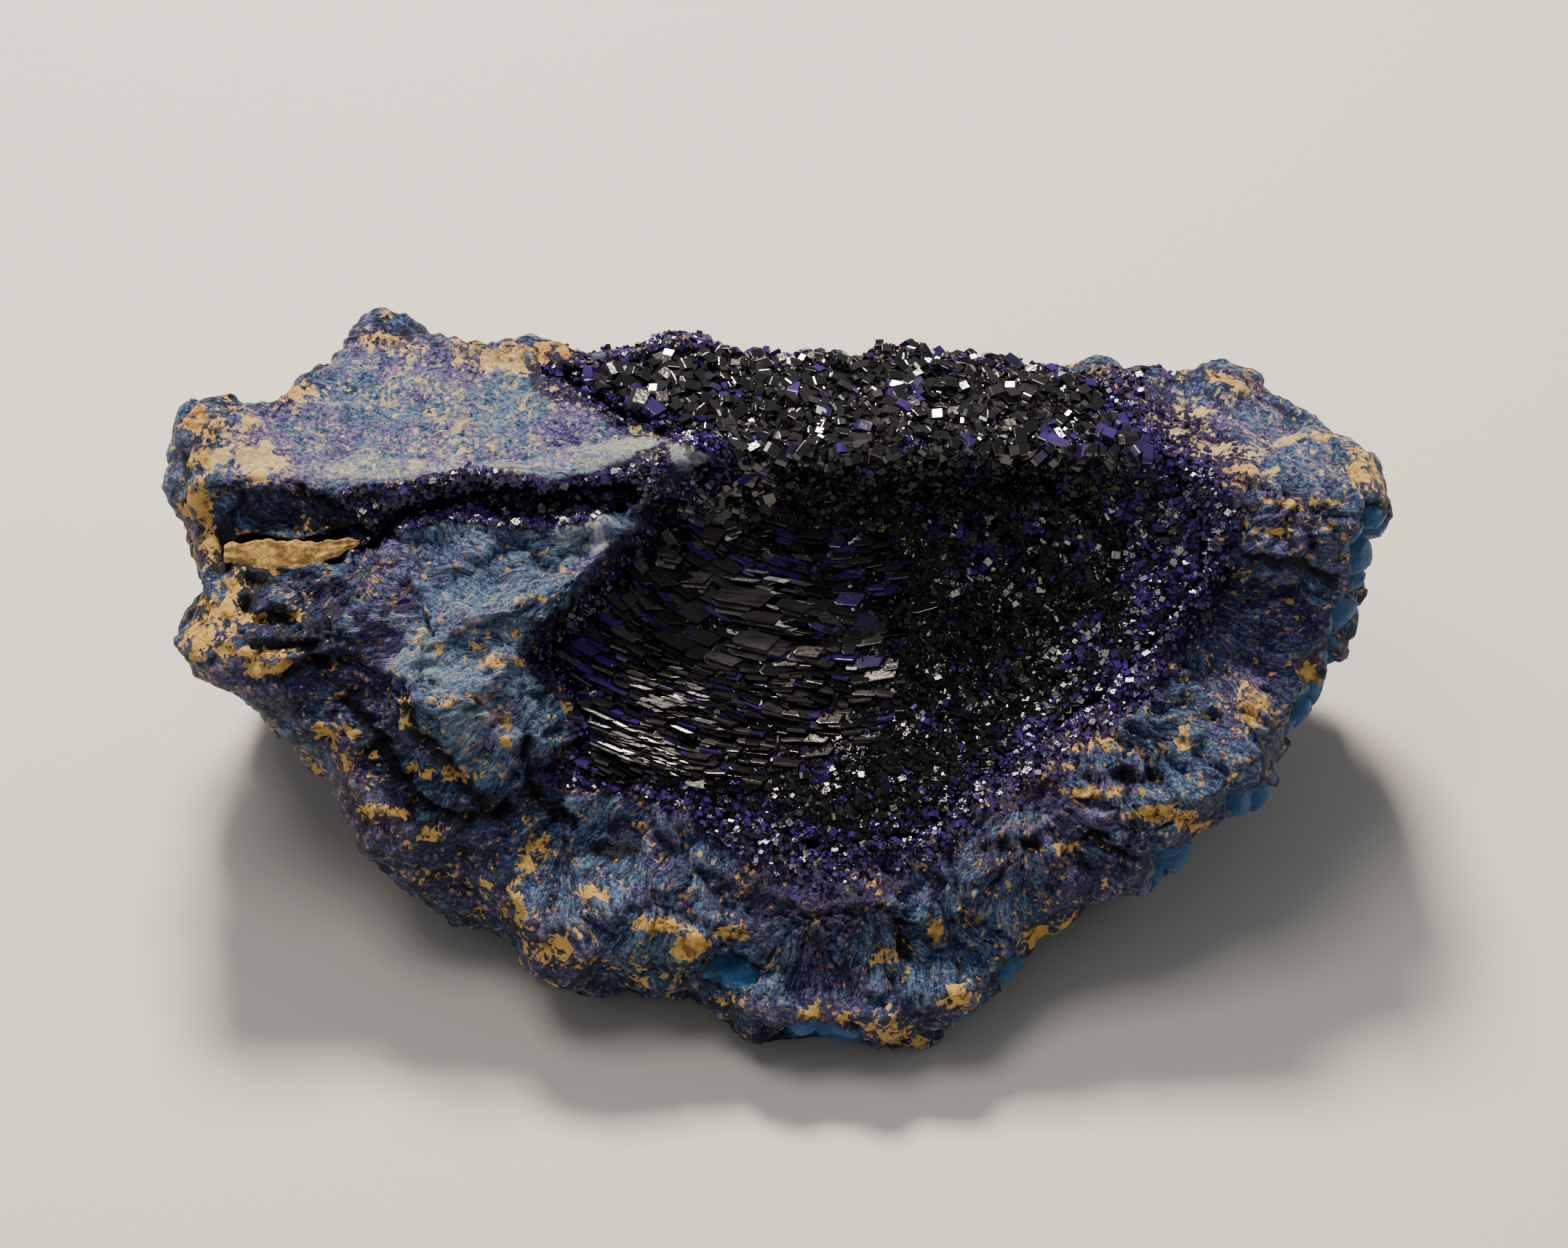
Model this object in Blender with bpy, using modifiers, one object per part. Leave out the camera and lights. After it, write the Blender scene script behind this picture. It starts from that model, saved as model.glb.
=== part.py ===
"""Azurite specimen: a fragment of a round nodule, broken open on a slanting face.

Three solids make it up: the matrix, which is fine-grained azurite with ochre clay and a knobbly
skin, the crust of dark azurite crystals that lines the hollow in the broken face, and the small
crust that lines the crevice beside it.

The broken face is modelled flat, in a frame of its own: A runs along the face to the right,
B up the face and C out of it. The whole is then leaned back by FACE_LEAN onto its flat base.
"""

import math
import random

import bmesh
import bpy
import numpy as np
from mathutils import Matrix, Vector, noise

MM = 0.001

# Driving dimensions.
FACE_LEAN = math.radians(45)  # from the ground to the broken face
GROUND = 3 * MM  # how far the ground lies below the foot of the face's frame
NODULE_DEPTH = 56 * MM  # from the face to the back of the nodule, square to the face
SKIN_DROP = 8 * MM  # how far the skin rolls back between the face and the outline
SKIN_TAPER = 0.25  # share of its width that the fragment loses towards its back
TAPER_CENTRE = (0.0, 44.0)  # A and B, in millimetres, that it narrows towards
NODULE_CENTRE = Vector((0, 27, 24)) * MM  # of the round body, measured level from the face's foot
NODULE_RADII = Vector((62, 36, 30)) * MM
NODULE_SQUARENESS = 3  # 2 is an ellipsoid, more is nearer to a box
POCKET_DEPTH = 7.5 * MM  # deepest part of the crystal-lined hollow
CRUST_THICKNESS = 2.6 * MM
GAP = 0.35 * MM  # clearance between the crust and its pocket
CREVICE_DEPTH = 7 * MM
CREVICE_CRUST = 2.2 * MM  # thickness of the crystals on the crevice's floor
CRYSTAL_SPACING = 3.25 * MM
SMALL_SPACING = 1.7 * MM  # of the crystals in the crevice
CUT_TOP = 20 * MM  # how far in front of the face the cutters reach

# Fineness of the solids.
BLANK_VOXEL = 1.0 * MM
MATRIX_SHARE = 0.105  # of the triangles that the matrix keeps when it is thinned
FACE_WEIGHT = 0.95  # how far the thinning spares the broken face
SKIN_WEIGHT = 0.35  # how far it spares the rest
THINNING_FACTOR = 0.008  # how much those weights count
POCKET_STEP = 3.2 * MM  # grid spacing of the pocket's floor
CRYSTAL_TRIES = 4000  # places tried for the crystals of one crust
SEED = 3

# The outline of the specimen seen square to the face, in millimetres (A, B).
OUTLINE = [
    (-52.5, 55.5), (-51.5, 58.8), (-48.5, 60.2), (-44.0, 59.4), (-41.2, 61.2), (-39.5, 64.5),
    (-36.8, 67.0), (-33.0, 67.4), (-27.0, 65.6), (-17.5, 63.4), (-12.0, 64.4), (-6.0, 65.0),
    (-1.0, 63.2), (6.0, 63.4), (15.0, 63.2), (23.0, 62.0), (27.5, 62.6), (31.0, 61.6),
    (36.0, 61.8), (39.8, 62.2), (42.0, 61.0), (42.8, 58.8), (46.5, 57.6), (48.5, 55.4),
    (51.6, 54.2), (51.8, 52.0), (52.6, 49.8), (51.2, 48.0), (52.0, 45.0), (51.0, 41.8),
    (49.0, 41.0), (49.6, 37.8), (47.2, 36.2), (47.6, 33.0), (45.4, 30.6), (43.6, 29.0),
    (43.4, 26.4), (41.4, 24.2), (38.6, 22.4), (35.4, 22.8), (34.6, 19.4), (32.0, 16.8),
    (28.8, 16.3), (25.8, 13.2), (21.4, 12.4), (19.8, 8.6), (16.8, 6.0), (12.4, 3.6),
    (7.6, 3.0), (3.5, 4.4), (-1.6, 3.8), (-5.2, 6.6), (-11.2, 8.8), (-15.4, 6.8),
    (-21.0, 9.8), (-23.4, 12.8), (-31.2, 16.0), (-35.0, 20.5), (-38.6, 24.0), (-38.0, 27.0),
    (-43.2, 29.4), (-45.2, 33.6), (-49.5, 35.6), (-52.4, 37.6), (-51.6, 40.4), (-49.8, 42.8),
    (-51.0, 48.0),
]

# The edge of the broken face. Between it and the outline lies the nodule's skin.
FACE_EDGE = [
    (-49.0, 53.0), (-46.5, 57.5), (-42.0, 58.8), (-39.0, 62.8), (-33.0, 64.8), (-28.0, 64.2),
    (-20.5, 62.4), (-12.0, 63.2), (0.0, 62.6), (23.0, 61.0), (34.0, 60.6), (41.0, 60.0),
    (46.0, 56.2), (50.2, 52.0), (49.4, 47.0), (47.2, 42.6), (45.4, 38.0), (44.4, 33.0),
    (42.0, 29.6), (41.2, 25.8), (36.4, 24.0), (32.2, 20.0), (27.0, 17.2), (22.0, 14.2),
    (17.0, 10.0), (12.0, 6.6), (4.0, 6.8), (-4.0, 8.6), (-10.0, 11.4), (-16.0, 11.0),
    (-20.0, 14.6), (-23.6, 20.4), (-29.6, 21.8), (-33.6, 25.2), (-37.6, 29.6), (-41.0, 33.6),
    (-45.6, 37.8), (-48.2, 42.0), (-48.6, 47.6),
]

# The hollow that the crystals line. The matrix's tongue juts into it at the upper left.
POCKET = [
    (-19.5, 62.0), (-15.0, 61.8), (-10.6, 63.4), (-4.0, 64.2), (2.8, 65.2), (12.8, 65.2),
    (20.8, 63.4), (27.5, 61.0), (30.6, 57.0), (34.4, 53.0), (36.4, 48.0), (36.2, 43.4),
    (33.0, 39.4), (28.8, 34.2), (21.0, 29.4), (16.2, 25.4), (12.6, 22.0), (4.8, 20.6),
    (-2.0, 22.6), (-7.4, 24.8), (-14.0, 26.0), (-18.8, 26.4), (-16.2, 29.8), (-16.8, 33.4),
    (-19.6, 36.8), (-15.4, 41.0), (-11.4, 46.2), (-9.0, 50.2), (-3.6, 54.4), (-9.2, 56.2),
    (-12.6, 57.6), (-16.6, 60.4),
]

# The crevice under the plateau: its upper lip, then its lower lip back again.
CREVICE = [
    (-46.5, 47.2), (-40.0, 46.8), (-34.0, 48.4), (-30.0, 50.7), (-22.0, 51.4), (-15.0, 51.7),
    (-9.6, 52.6), (-10.4, 51.0), (-15.5, 48.9), (-21.0, 47.8), (-28.5, 48.9), (-33.0, 47.2),
    (-37.0, 45.6), (-45.0, 44.9),
]

# Where crystals stand. Round the rosette's centre they lie as plates, in rings.
CRYSTAL_FIELD = [
    (-17.0, 61.0), (-10.0, 62.6), (2.8, 64.4), (12.8, 64.4), (20.8, 62.4), (27.0, 60.0),
    (33.6, 52.6), (35.4, 47.6), (34.8, 43.6), (28.0, 35.2), (20.0, 30.2), (11.8, 23.4),
    (4.8, 21.8), (-6.8, 25.8), (-16.0, 27.2), (-14.8, 30.0), (-15.6, 33.6), (-18.0, 36.8),
    (-14.0, 41.6), (-9.8, 46.6), (-1.6, 54.4), (-9.2, 57.2), (-15.6, 60.6),
]
ROSETTE = (12.0, 52.0)

# Where the plateau and the crystal hump end and the face begins: B against A.
BROW = [(-53, 52.6), (-36, 51.6), (-26, 52.4), (-14, 52.9), (-4, 53.8), (10, 54.2),
        (24, 54.0), (36, 53.4), (53, 51.0)]

# Rounded swellings and hollows of the face: A, B, half-lengths, turn in degrees, height.
LUMPS = [
    (-29.0, 31.0, 6.5, 5.0, 20, 1.8), (-28.0, 24.6, 4.8, 2.8, -10, 1.8),
    (-21.0, 28.2, 5.0, 4.0, 30, 1.4), (-17.0, 13.4, 6.6, 5.2, 0, 2.6),
    (-12.4, 17.4, 4.2, 3.0, 20, 1.5), (-7.0, 19.4, 1.7, 1.7, 0, 1.3),
    (8.0, 7.2, 13.0, 4.6, 4, 2.2), (-2.0, 6.0, 5.0, 3.0, 0, 1.5),
    (5.0, 14.4, 7.5, 4.2, 18, 1.8), (20.0, 20.0, 8.5, 5.0, 32, 2.0),
    (39.0, 26.3, 2.9, 3.2, 0, 2.8), (40.8, 31.0, 3.0, 4.2, 10, 2.4),
    (41.0, 50.0, 11.5, 6.8, -16, 3.0), (38.5, 39.4, 8.0, 5.6, 14, -3.0),
    (40.4, 60.2, 3.0, 2.2, 0, 1.8), (27.0, 61.0, 3.2, 1.4, 0, 1.2),
    (-49.6, 56.8, 2.4, 2.4, 0, 2.2), (-46.8, 58.6, 2.6, 1.6, 0, 1.4),
    (-50.0, 37.8, 4.4, 2.6, -20, 2.2), (-10.0, 21.6, 8.0, 3.6, -14, -1.4),
    (-3.4, 9.6, 2.8, 1.6, -20, -1.4), (14.0, 11.4, 6.0, 2.0, 14, -1.4),
]

# Long ridges and valleys of the face: points (A, B), half-width, height.
RIDGES = [
    ([(-48.5, 58.2), (-43.0, 59.6), (-38.0, 65.0), (-33.0, 66.0), (-24.0, 63.8), (-17.0, 62.4)],
     1.7, 1.5),
    ([(-13.0, 49.6), (-20.0, 46.6), (-28.0, 44.8)], 0.9, 1.0),
    ([(-12.0, 47.4), (-18.0, 43.6), (-25.0, 40.0), (-29.0, 38.6)], 1.0, 1.2),
    ([(-12.6, 45.2), (-18.0, 40.4), (-24.0, 35.0)], 0.9, 1.1),
    ([(-16.4, 40.0), (-20.0, 35.6), (-24.6, 30.0)], 0.9, 1.0),
    ([(-33.6, 32.4), (-31.5, 34.2), (-29.4, 38.0)], 1.3, 1.3),
    ([(-28.0, 32.2), (-24.6, 34.4)], 1.3, 1.3),
    ([(-10.6, 14.0), (-7.0, 13.6), (-4.4, 11.4)], 1.5, 1.5),
    ([(24.0, 26.8), (29.4, 24.0), (34.0, 24.8), (36.4, 23.6)], 1.7, 2.2),
    ([(19.0, 31.0), (24.6, 30.4), (29.6, 27.4)], 1.5, 1.4),
    ([(27.0, 20.8), (32.0, 20.6), (35.0, 21.8)], 1.4, 1.2),
    ([(-44.0, 43.2), (-38.0, 42.4), (-33.0, 42.6)], 0.9, -1.2),
    ([(-44.5, 40.4), (-40.0, 39.9), (-35.0, 40.6)], 0.9, -1.5),
    ([(-31.5, 41.0), (-35.0, 36.0), (-34.4, 30.0), (-31.0, 25.6)], 1.4, -2.2),
    ([(38.6, 44.0), (42.4, 42.2), (46.8, 41.6)], 1.0, -1.8),
    ([(30.0, 33.6), (35.0, 33.6), (38.4, 34.8)], 1.2, -1.2),
]


def clear_scene():
    """Removes whatever the file held."""
    for obj in list(bpy.data.objects):
        bpy.data.objects.remove(obj)


def collection(name):
    """A new collection in the scene."""
    made = bpy.data.collections.new(name)
    bpy.context.scene.collection.children.link(made)
    return made


def add_object(name, mesh, home):
    """An object for the mesh, in the collection home."""
    obj = bpy.data.objects.new(name, mesh)
    home.objects.link(obj)
    return obj


def evaluated_mesh(obj):
    """A plain mesh of the object as the viewport shows it, with its caps welded on."""
    bpy.context.view_layer.update()
    graph = bpy.context.evaluated_depsgraph_get()
    mesh = bpy.data.meshes.new_from_object(obj.evaluated_get(graph))
    mesh.transform(obj.matrix_world)
    shape = bmesh.new()
    shape.from_mesh(mesh)
    bmesh.ops.remove_doubles(shape, verts=shape.verts, dist=0.01 * MM)
    shape.to_mesh(mesh)
    shape.free()
    return mesh


def settle(obj):
    """Applies the object's modifiers."""
    mesh = evaluated_mesh(obj)
    obj.modifiers.clear()
    obj.data = mesh


def prism(name, points, back, front, home, inset=0.0):
    """The outline (A, B) in millimetres as a solid from back to front along C."""
    curve = bpy.data.curves.new(name, "CURVE")
    curve.dimensions = "2D"
    curve.fill_mode = "BOTH"
    curve.extrude = (front - back) / 2
    curve.offset = -inset
    spline = curve.splines.new("POLY")
    spline.points.add(len(points) - 1)
    for knot, (a, b) in zip(spline.points, points):
        knot.co = (a * MM, b * MM, 0, 1)
    spline.use_cyclic_u = True
    outline = add_object(name, curve, home)
    outline.location.z = (front + back) / 2
    solid = add_object(name, evaluated_mesh(outline), home)
    bpy.data.objects.remove(outline)
    solid.name = name
    return solid


def points_of(mesh):
    """The mesh's points as an array, in millimetres."""
    flat = np.empty(len(mesh.vertices) * 3)
    mesh.vertices.foreach_get("co", flat)
    return flat.reshape(-1, 3) / MM


def put_points(mesh, points):
    """Writes points, in millimetres, back to the mesh."""
    mesh.vertices.foreach_set("co", (points * MM).ravel())
    mesh.update()


def distance_to_line(a, b, line):
    """Distance from each (a, b) to a chain of straight pieces."""
    best = np.full(a.shape, np.inf)
    for (a0, b0), (a1, b1) in zip(line, line[1:]):
        da, db = a1 - a0, b1 - b0
        along = np.clip(((a - a0) * da + (b - b0) * db) / (da * da + db * db), 0, 1)
        best = np.minimum(best, np.hypot(a - a0 - along * da, b - b0 - along * db))
    return best


def inside(a, b, polygon):
    """Whether each (a, b) lies inside the polygon."""
    found = np.zeros(a.shape, bool)
    for (a0, b0), (a1, b1) in zip(polygon, polygon[1:] + polygon[:1]):
        spans = (b0 > b) != (b1 > b)
        crossing = a0 + (b - b0) * (a1 - a0) / (b1 - b0 if b1 != b0 else 1.0)
        found ^= spans & (a < crossing)
    return found


def smooth(x, low, high):
    """0 at low, 1 at high and an even curve between; low may be the larger."""
    t = np.clip((x - low) / (high - low), 0, 1)
    return t * t * (3 - 2 * t)


def top_plane(a, b):
    """C of the level top of the specimen, which the slanting face ends at."""
    brow = np.interp(a, [p[0] for p in BROW], [p[1] for p in BROW])
    return (brow - b) * math.tan(FACE_LEAN)


def left_shoulder(a, b):
    """C of the fan of fibres below the crevice: it swells towards the viewer, then rolls down."""
    rise = -3.0 + 4.6 * smooth(b, 50, 40) - 2.6 * smooth(b, 37, 24)
    return rise * smooth(a, -6, -18)


def swellings(a, b):
    """Height that the lumps, pits, ridges and grooves add to the face at (A, B)."""
    height = np.zeros(np.shape(a))
    for ca, cb, ra, rb, turn, rise in LUMPS:
        cos, sin = math.cos(math.radians(turn)), math.sin(math.radians(turn))
        u = ((a - ca) * cos + (b - cb) * sin) / ra
        v = ((b - cb) * cos - (a - ca) * sin) / rb
        height = height + rise * np.clip(1 - u * u - v * v, 0, None) ** 0.7
    for line, width, rise in RIDGES:
        height = height + rise * np.exp(-((distance_to_line(a, b, line) / width) ** 2))
    return height


def face_relief(a, b):
    """C of the broken face at (A, B), without the skin's roll at its edge."""
    face = left_shoulder(a, b) - 1.5 * smooth(b, 16, 4)
    top = top_plane(a, b)
    ledge = np.where(top < 0.9, top, face + 0.9)  # the plateau keeps a crisp front edge
    face = np.minimum(np.where(a < -4, ledge, face + 0.6), top) + swellings(a, b)
    rolled = crust_surface(a, b) + 0.6
    to_pocket = np.where(inside(a, b, POCKET), 0, distance_to_line(a, b, POCKET + POCKET[:1]))
    roll_width = np.interp(b, [20, 30, 46, 52], [3.6, 3.0, 2.6, 0.9])
    return face + (rolled - face) * smooth(to_pocket / roll_width, 1.0, 0.15)


def crust_surface(a, b):
    """C of the crystals' own surface: a shelf on top, a steep wall, then a rising floor."""
    wall = smooth(b, 55.5, 49.0)
    floor = smooth(b, 19.0, 45.0)
    sides = smooth(a, 38, 20) * (0.55 + 0.45 * smooth(a, -20, -2))
    bowl = -POCKET_DEPTH / MM * wall * floor * sides
    return np.minimum(bowl, top_plane(a, b) + 0.8)


def skin_knobs(point):
    """Height of the grape-like knobs of the skin at a point in millimetres."""
    height = -1.9
    for size, knob in ((9.0, 2.0), (4.6, 0.9)):
        nearest = noise.voronoi(Vector(point) / size)[0][0]
        height += knob * (1 - 1.6 * nearest * nearest)
    return height


def roughness(point):
    """Uneven break of the face at a point in millimetres."""
    return 0.8 * noise.ridged_multi_fractal(Vector(point) / 8.0, 0.9, 2.2, 3, 1.0, 2.0) - 1.0


def shape_front(points):
    """Moves the prism's flat front to the face's relief, and what is behind it in proportion."""
    a, b, c = points.T
    deep = np.clip(-c * MM / NODULE_DEPTH, 0, 1)
    on_face = inside(a, b, FACE_EDGE)
    to_face = distance_to_line(a, b, FACE_EDGE + FACE_EDGE[:1])
    to_outline = distance_to_line(a, b, OUTLINE + OUTLINE[:1])
    roll = np.where(on_face, 0, to_face / np.maximum(to_face + to_outline, 1e-6))
    drop = SKIN_DROP / MM * (1 - np.sqrt(1 - np.clip(roll, 0, 0.999) ** 2))
    front = face_relief(a, b) - drop
    shrink = 1 - SKIN_TAPER * np.clip(deep - 0.08, 0, 1) ** 1.6
    middle_a, middle_b = TAPER_CENTRE
    a = middle_a + (a - middle_a) * shrink
    b = middle_b + (b - middle_b) * shrink
    return np.stack([a, b, front * (1 - deep) + c], axis=1)


def is_face(points):
    """Whether each point is on the broken face."""
    a, b, c = points.T
    return inside(a, b, FACE_EDGE) & (c > face_relief(a, b) - 2.0)


def roughen(mesh):
    """Knobs on the skin, an uneven break on the face."""
    points = points_of(mesh)
    normals = np.empty(len(mesh.vertices) * 3)
    mesh.vertices.foreach_get("normal", normals)
    face = is_face(points)
    height = [roughness(p) if f else skin_knobs(p) for p, f in zip(points, face)]
    put_points(mesh, points + normals.reshape(-1, 3) * np.array(height)[:, None])


def boolean(obj, other, operation):
    """Joins, cuts or intersects the object with the other one."""
    join = obj.modifiers.new(other.name, "BOOLEAN")
    join.operation = operation
    join.object = other
    settle(obj)


def keep_main_shell(obj):
    """Removes sealed cavities and stray bits, which leaves one closed surface."""
    shape = bmesh.new()
    shape.from_mesh(obj.data)
    left = set(shape.verts)
    shells = []
    while left:
        shell, edge = set(), [left.pop()]
        while edge:
            vert = edge.pop()
            shell.add(vert)
            near = {link.other_vert(vert) for link in vert.link_edges} & left
            left -= near
            edge.extend(near)
        shells.append(shell)
    main_shell = max(shells, key=len)
    stray = [vert for vert in shape.verts if vert not in main_shell]
    bmesh.ops.delete(shape, geom=stray, context="VERTS")
    shape.to_mesh(obj.data)
    shape.free()


def remesh(obj, voxel):
    """Evens the object's faces out to squares of about the voxel's size."""
    even = obj.modifiers.new("even_out", "REMESH")
    even.mode = "VOXEL"
    even.voxel_size = voxel
    settle(obj)


def thin_out(obj, share):
    """Keeps that share of the object's triangles, with most of them on the broken face."""
    points = points_of(obj.data)
    weights = obj.vertex_groups.new(name="detail")
    face = is_face(points)
    for group, weight in ((face, FACE_WEIGHT), (~face, SKIN_WEIGHT)):
        weights.add(np.flatnonzero(group).tolist(), weight, "REPLACE")
    fewer = obj.modifiers.new("thin_out", "DECIMATE")
    fewer.ratio = share
    fewer.vertex_group = weights.name
    fewer.vertex_group_factor = THINNING_FACTOR
    fewer.invert_vertex_group = True
    settle(obj)


def inset(points, distance):
    """The outline moved inwards by the distance, both in millimetres."""
    clockwise = sum(a0 * b1 - a1 * b0 for (a0, b0), (a1, b1) in zip(points, points[1:] + points[:1])) < 0
    sign = 1 if clockwise else -1
    moved = []
    for before, here, after in zip(points[-1:] + points[:-1], points, points[1:] + points[:1]):
        enter = (Vector(here) - Vector(before)).normalized()
        leave = (Vector(after) - Vector(here)).normalized()
        normal = Vector((enter.y + leave.y, -enter.x - leave.x)).normalized() * sign
        lengthen = 1 / max(normal.dot(Vector((enter.y, -enter.x)) * sign), 0.5)
        moved.append(tuple(Vector(here) + normal * distance * lengthen))
    return moved


def face_from_level():
    """From a level frame at the face's foot to the face's own."""
    return Matrix.Rotation(-FACE_LEAN, 4, "X")


def nodule(home):
    """The round body that the fragment's back and sides belong to, in the face's frame."""
    shape = bmesh.new()
    bmesh.ops.create_icosphere(shape, subdivisions=5, radius=1)
    place = Matrix.Translation(NODULE_CENTRE) @ Matrix.Diagonal((*NODULE_RADII, 1))
    for vert in shape.verts:
        power = sum(abs(x) ** NODULE_SQUARENESS for x in vert.co)
        vert.co *= power ** (-1 / NODULE_SQUARENESS)
    bmesh.ops.transform(shape, matrix=face_from_level() @ place, verts=shape.verts)
    mesh = bpy.data.meshes.new("nodule")
    shape.to_mesh(mesh)
    shape.free()
    return add_object("nodule", mesh, home)


def cut_base(obj):
    """Takes away what is below the ground and closes the cut with one flat face."""
    up = face_from_level().to_3x3() @ Vector((0, 0, 1))
    shape = bmesh.new()
    shape.from_mesh(obj.data)
    everything = shape.verts[:] + shape.edges[:] + shape.faces[:]
    cut = bmesh.ops.bisect_plane(
        shape, geom=everything, dist=1e-6, plane_co=-GROUND * up, plane_no=up, clear_inner=True
    )
    rim = [item for item in cut["geom_cut"] if isinstance(item, bmesh.types.BMEdge)]
    bmesh.ops.contextual_create(shape, geom=rim)
    bmesh.ops.triangulate(shape, faces=[face for face in shape.faces if len(face.verts) > 4])
    bmesh.ops.recalc_face_normals(shape, faces=shape.faces)
    shape.to_mesh(obj.data)
    shape.free()


def field_block(name, height, far, home):
    """A block between the surface C = height(a, b), in millimetres, and the plane C = far."""
    low_a, high_a = min(p[0] for p in POCKET) - 3, max(p[0] for p in POCKET) + 3
    low_b, high_b = min(p[1] for p in POCKET) - 3, max(p[1] for p in POCKET) + 3
    across = round((high_a - low_a) * MM / POCKET_STEP)
    up = round((high_b - low_b) * MM / POCKET_STEP)
    shape = bmesh.new()
    grid = bmesh.ops.create_grid(shape, x_segments=across, y_segments=up, size=0.5)
    for vert in grid["verts"]:
        a = low_a + (vert.co.x + 0.5) * (high_a - low_a)
        b = low_b + (vert.co.y + 0.5) * (high_b - low_b)
        vert.co = Vector((a, b, height(a, b))) * MM
    bmesh.ops.triangulate(shape, faces=shape.faces[:], quad_method="FIXED")
    moved = bmesh.ops.extrude_face_region(shape, geom=shape.faces[:])
    for vert in (item for item in moved["geom"] if isinstance(item, bmesh.types.BMVert)):
        vert.co.z = far
    bmesh.ops.recalc_face_normals(shape, faces=shape.faces)
    mesh = bpy.data.meshes.new(name)
    shape.to_mesh(mesh)
    shape.free()
    return add_object(name, mesh, home)


def over_floor(name, outline, lift, home):
    """What lies over the pocket's floor, lift above it, and inside the outline."""
    def floor(a, b):
        return float(crust_surface(np.array(a), np.array(b))) - CRUST_THICKNESS / MM + lift

    block = field_block(name, floor, CUT_TOP, home)
    sides = prism(name + "_sides", outline, -1.5 * CUT_TOP, 0.8 * CUT_TOP, home)
    boolean(block, sides, "INTERSECT")
    bpy.data.objects.remove(sides)
    return block


def add_crystal(shape, centre, lie, along, size):
    """Adds a block, size millimetres, lying square to the vector lie with its length along."""
    along = (along - lie * along.dot(lie)).normalized()
    turn = Matrix((along, lie.cross(along), lie)).transposed().to_4x4()
    place = Matrix.Translation(centre * MM) @ turn @ Matrix.Diagonal((*(size * MM), 1))
    bmesh.ops.create_cube(shape, size=1, matrix=place)


def any_way(chance, reach):
    """A vector of chance parts, each up to reach either way."""
    return Vector([chance.uniform(-reach, reach) for _ in range(3)])


def crust_crystal(shape, a, b, chance):
    """Adds a crystal at (A, B): a plate in the rosette's rings, or a block elsewhere."""
    c = float(crust_surface(np.array(a), np.array(b)))
    slope_a = float(crust_surface(np.array(a + 0.5), np.array(b))) - c
    slope_b = float(crust_surface(np.array(a), np.array(b + 0.5))) - c
    normal = Vector((-2 * slope_a, -2 * slope_b, 1)).normalized()
    outward = Vector((a - ROSETTE[0], b - ROSETTE[1], 0))
    if 9 < outward.length < 27 and b < 48:
        outward.normalize()
        size = Vector((chance.uniform(3.6, 6.4), chance.uniform(2.6, 3.8), chance.uniform(0.8, 1.3)))
        lie = normal - 0.55 * outward + Vector((0, chance.uniform(-0.1, 0.3), 0))
        along = Vector((-outward.y, outward.x, 0))
    else:
        side = chance.uniform(1.8, 3.2)
        size = Vector((side * chance.uniform(0.8, 1.5), side, side * chance.uniform(0.6, 1.1)))
        lie = normal + any_way(chance, 0.5)
        along = any_way(chance, 1.0)
    lift = (0.25 + 0.2 * chance.random()) * size.z
    add_crystal(shape, Vector((a, b, c)) + normal * lift, lie.normalized(), along, size)


def crevice_crystal(shape, a, b, chance):
    """Adds a small block at (A, B) on the crevice's crust."""
    size = Vector([chance.uniform(1.0, 2.0) for _ in range(3)])
    lie = (Vector((0, 0, 1)) + any_way(chance, 0.7)).normalized()
    top = (CREVICE_CRUST - CREVICE_DEPTH) / MM
    add_crystal(shape, Vector((a, b, top)), lie, any_way(chance, 1.0), size)


def grow(name, add, field, spacing, home):
    """Crystals from the function add, scattered evenly over the outline field."""
    chance = random.Random(SEED)
    shape = bmesh.new()
    taken = []
    for _ in range(CRYSTAL_TRIES):
        a = chance.uniform(min(p[0] for p in field), max(p[0] for p in field))
        b = chance.uniform(min(p[1] for p in field), max(p[1] for p in field))
        room = min((math.hypot(a - x, b - y) for x, y in taken), default=spacing)
        if room >= spacing and inside(np.array(a), np.array(b), field):
            taken.append((a, b))
            add(shape, a, b, chance)
    mesh = bpy.data.meshes.new(name)
    shape.to_mesh(mesh)
    shape.free()
    return add_object(name, mesh, home)


def fuse(bed, crystals, clear):
    """Joins the crystals to their bed, and trims both to the room that is clear of the matrix."""
    grown = bed.modifiers.new("crystals", "BOOLEAN")
    grown.operation = "UNION"
    grown.object = crystals
    grown.use_self = True
    settle(bed)
    boolean(bed, clear, "INTERSECT")
    keep_main_shell(bed)


def material(name, colour, roughness_value, metallic=0.0):
    """A Principled material."""
    made = bpy.data.materials.new(name)
    made.use_nodes = True
    shader = made.node_tree.nodes["Principled BSDF"]
    shader.inputs["Base Color"].default_value = (*colour, 1)
    shader.inputs["Roughness"].default_value = roughness_value
    shader.inputs["Metallic"].default_value = metallic
    return made


def build_matrix(home, cutters):
    """The matrix in the face's frame, with the pocket and the crevice cut in it."""
    matrix = prism("azurite_matrix", OUTLINE, -NODULE_DEPTH, 0, home)
    remesh(matrix, BLANK_VOXEL)
    put_points(matrix.data, shape_front(points_of(matrix.data)))
    boolean(matrix, nodule(cutters), "INTERSECT")
    remesh(matrix, BLANK_VOXEL)
    roughen(matrix.data)
    thin_out(matrix, MATRIX_SHARE)
    cut_base(matrix)
    boolean(matrix, prism("crevice", CREVICE, -CREVICE_DEPTH, CUT_TOP, cutters), "DIFFERENCE")
    boolean(matrix, over_floor("pocket", POCKET, 0, cutters), "DIFFERENCE")
    keep_main_shell(matrix)
    return matrix


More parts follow.
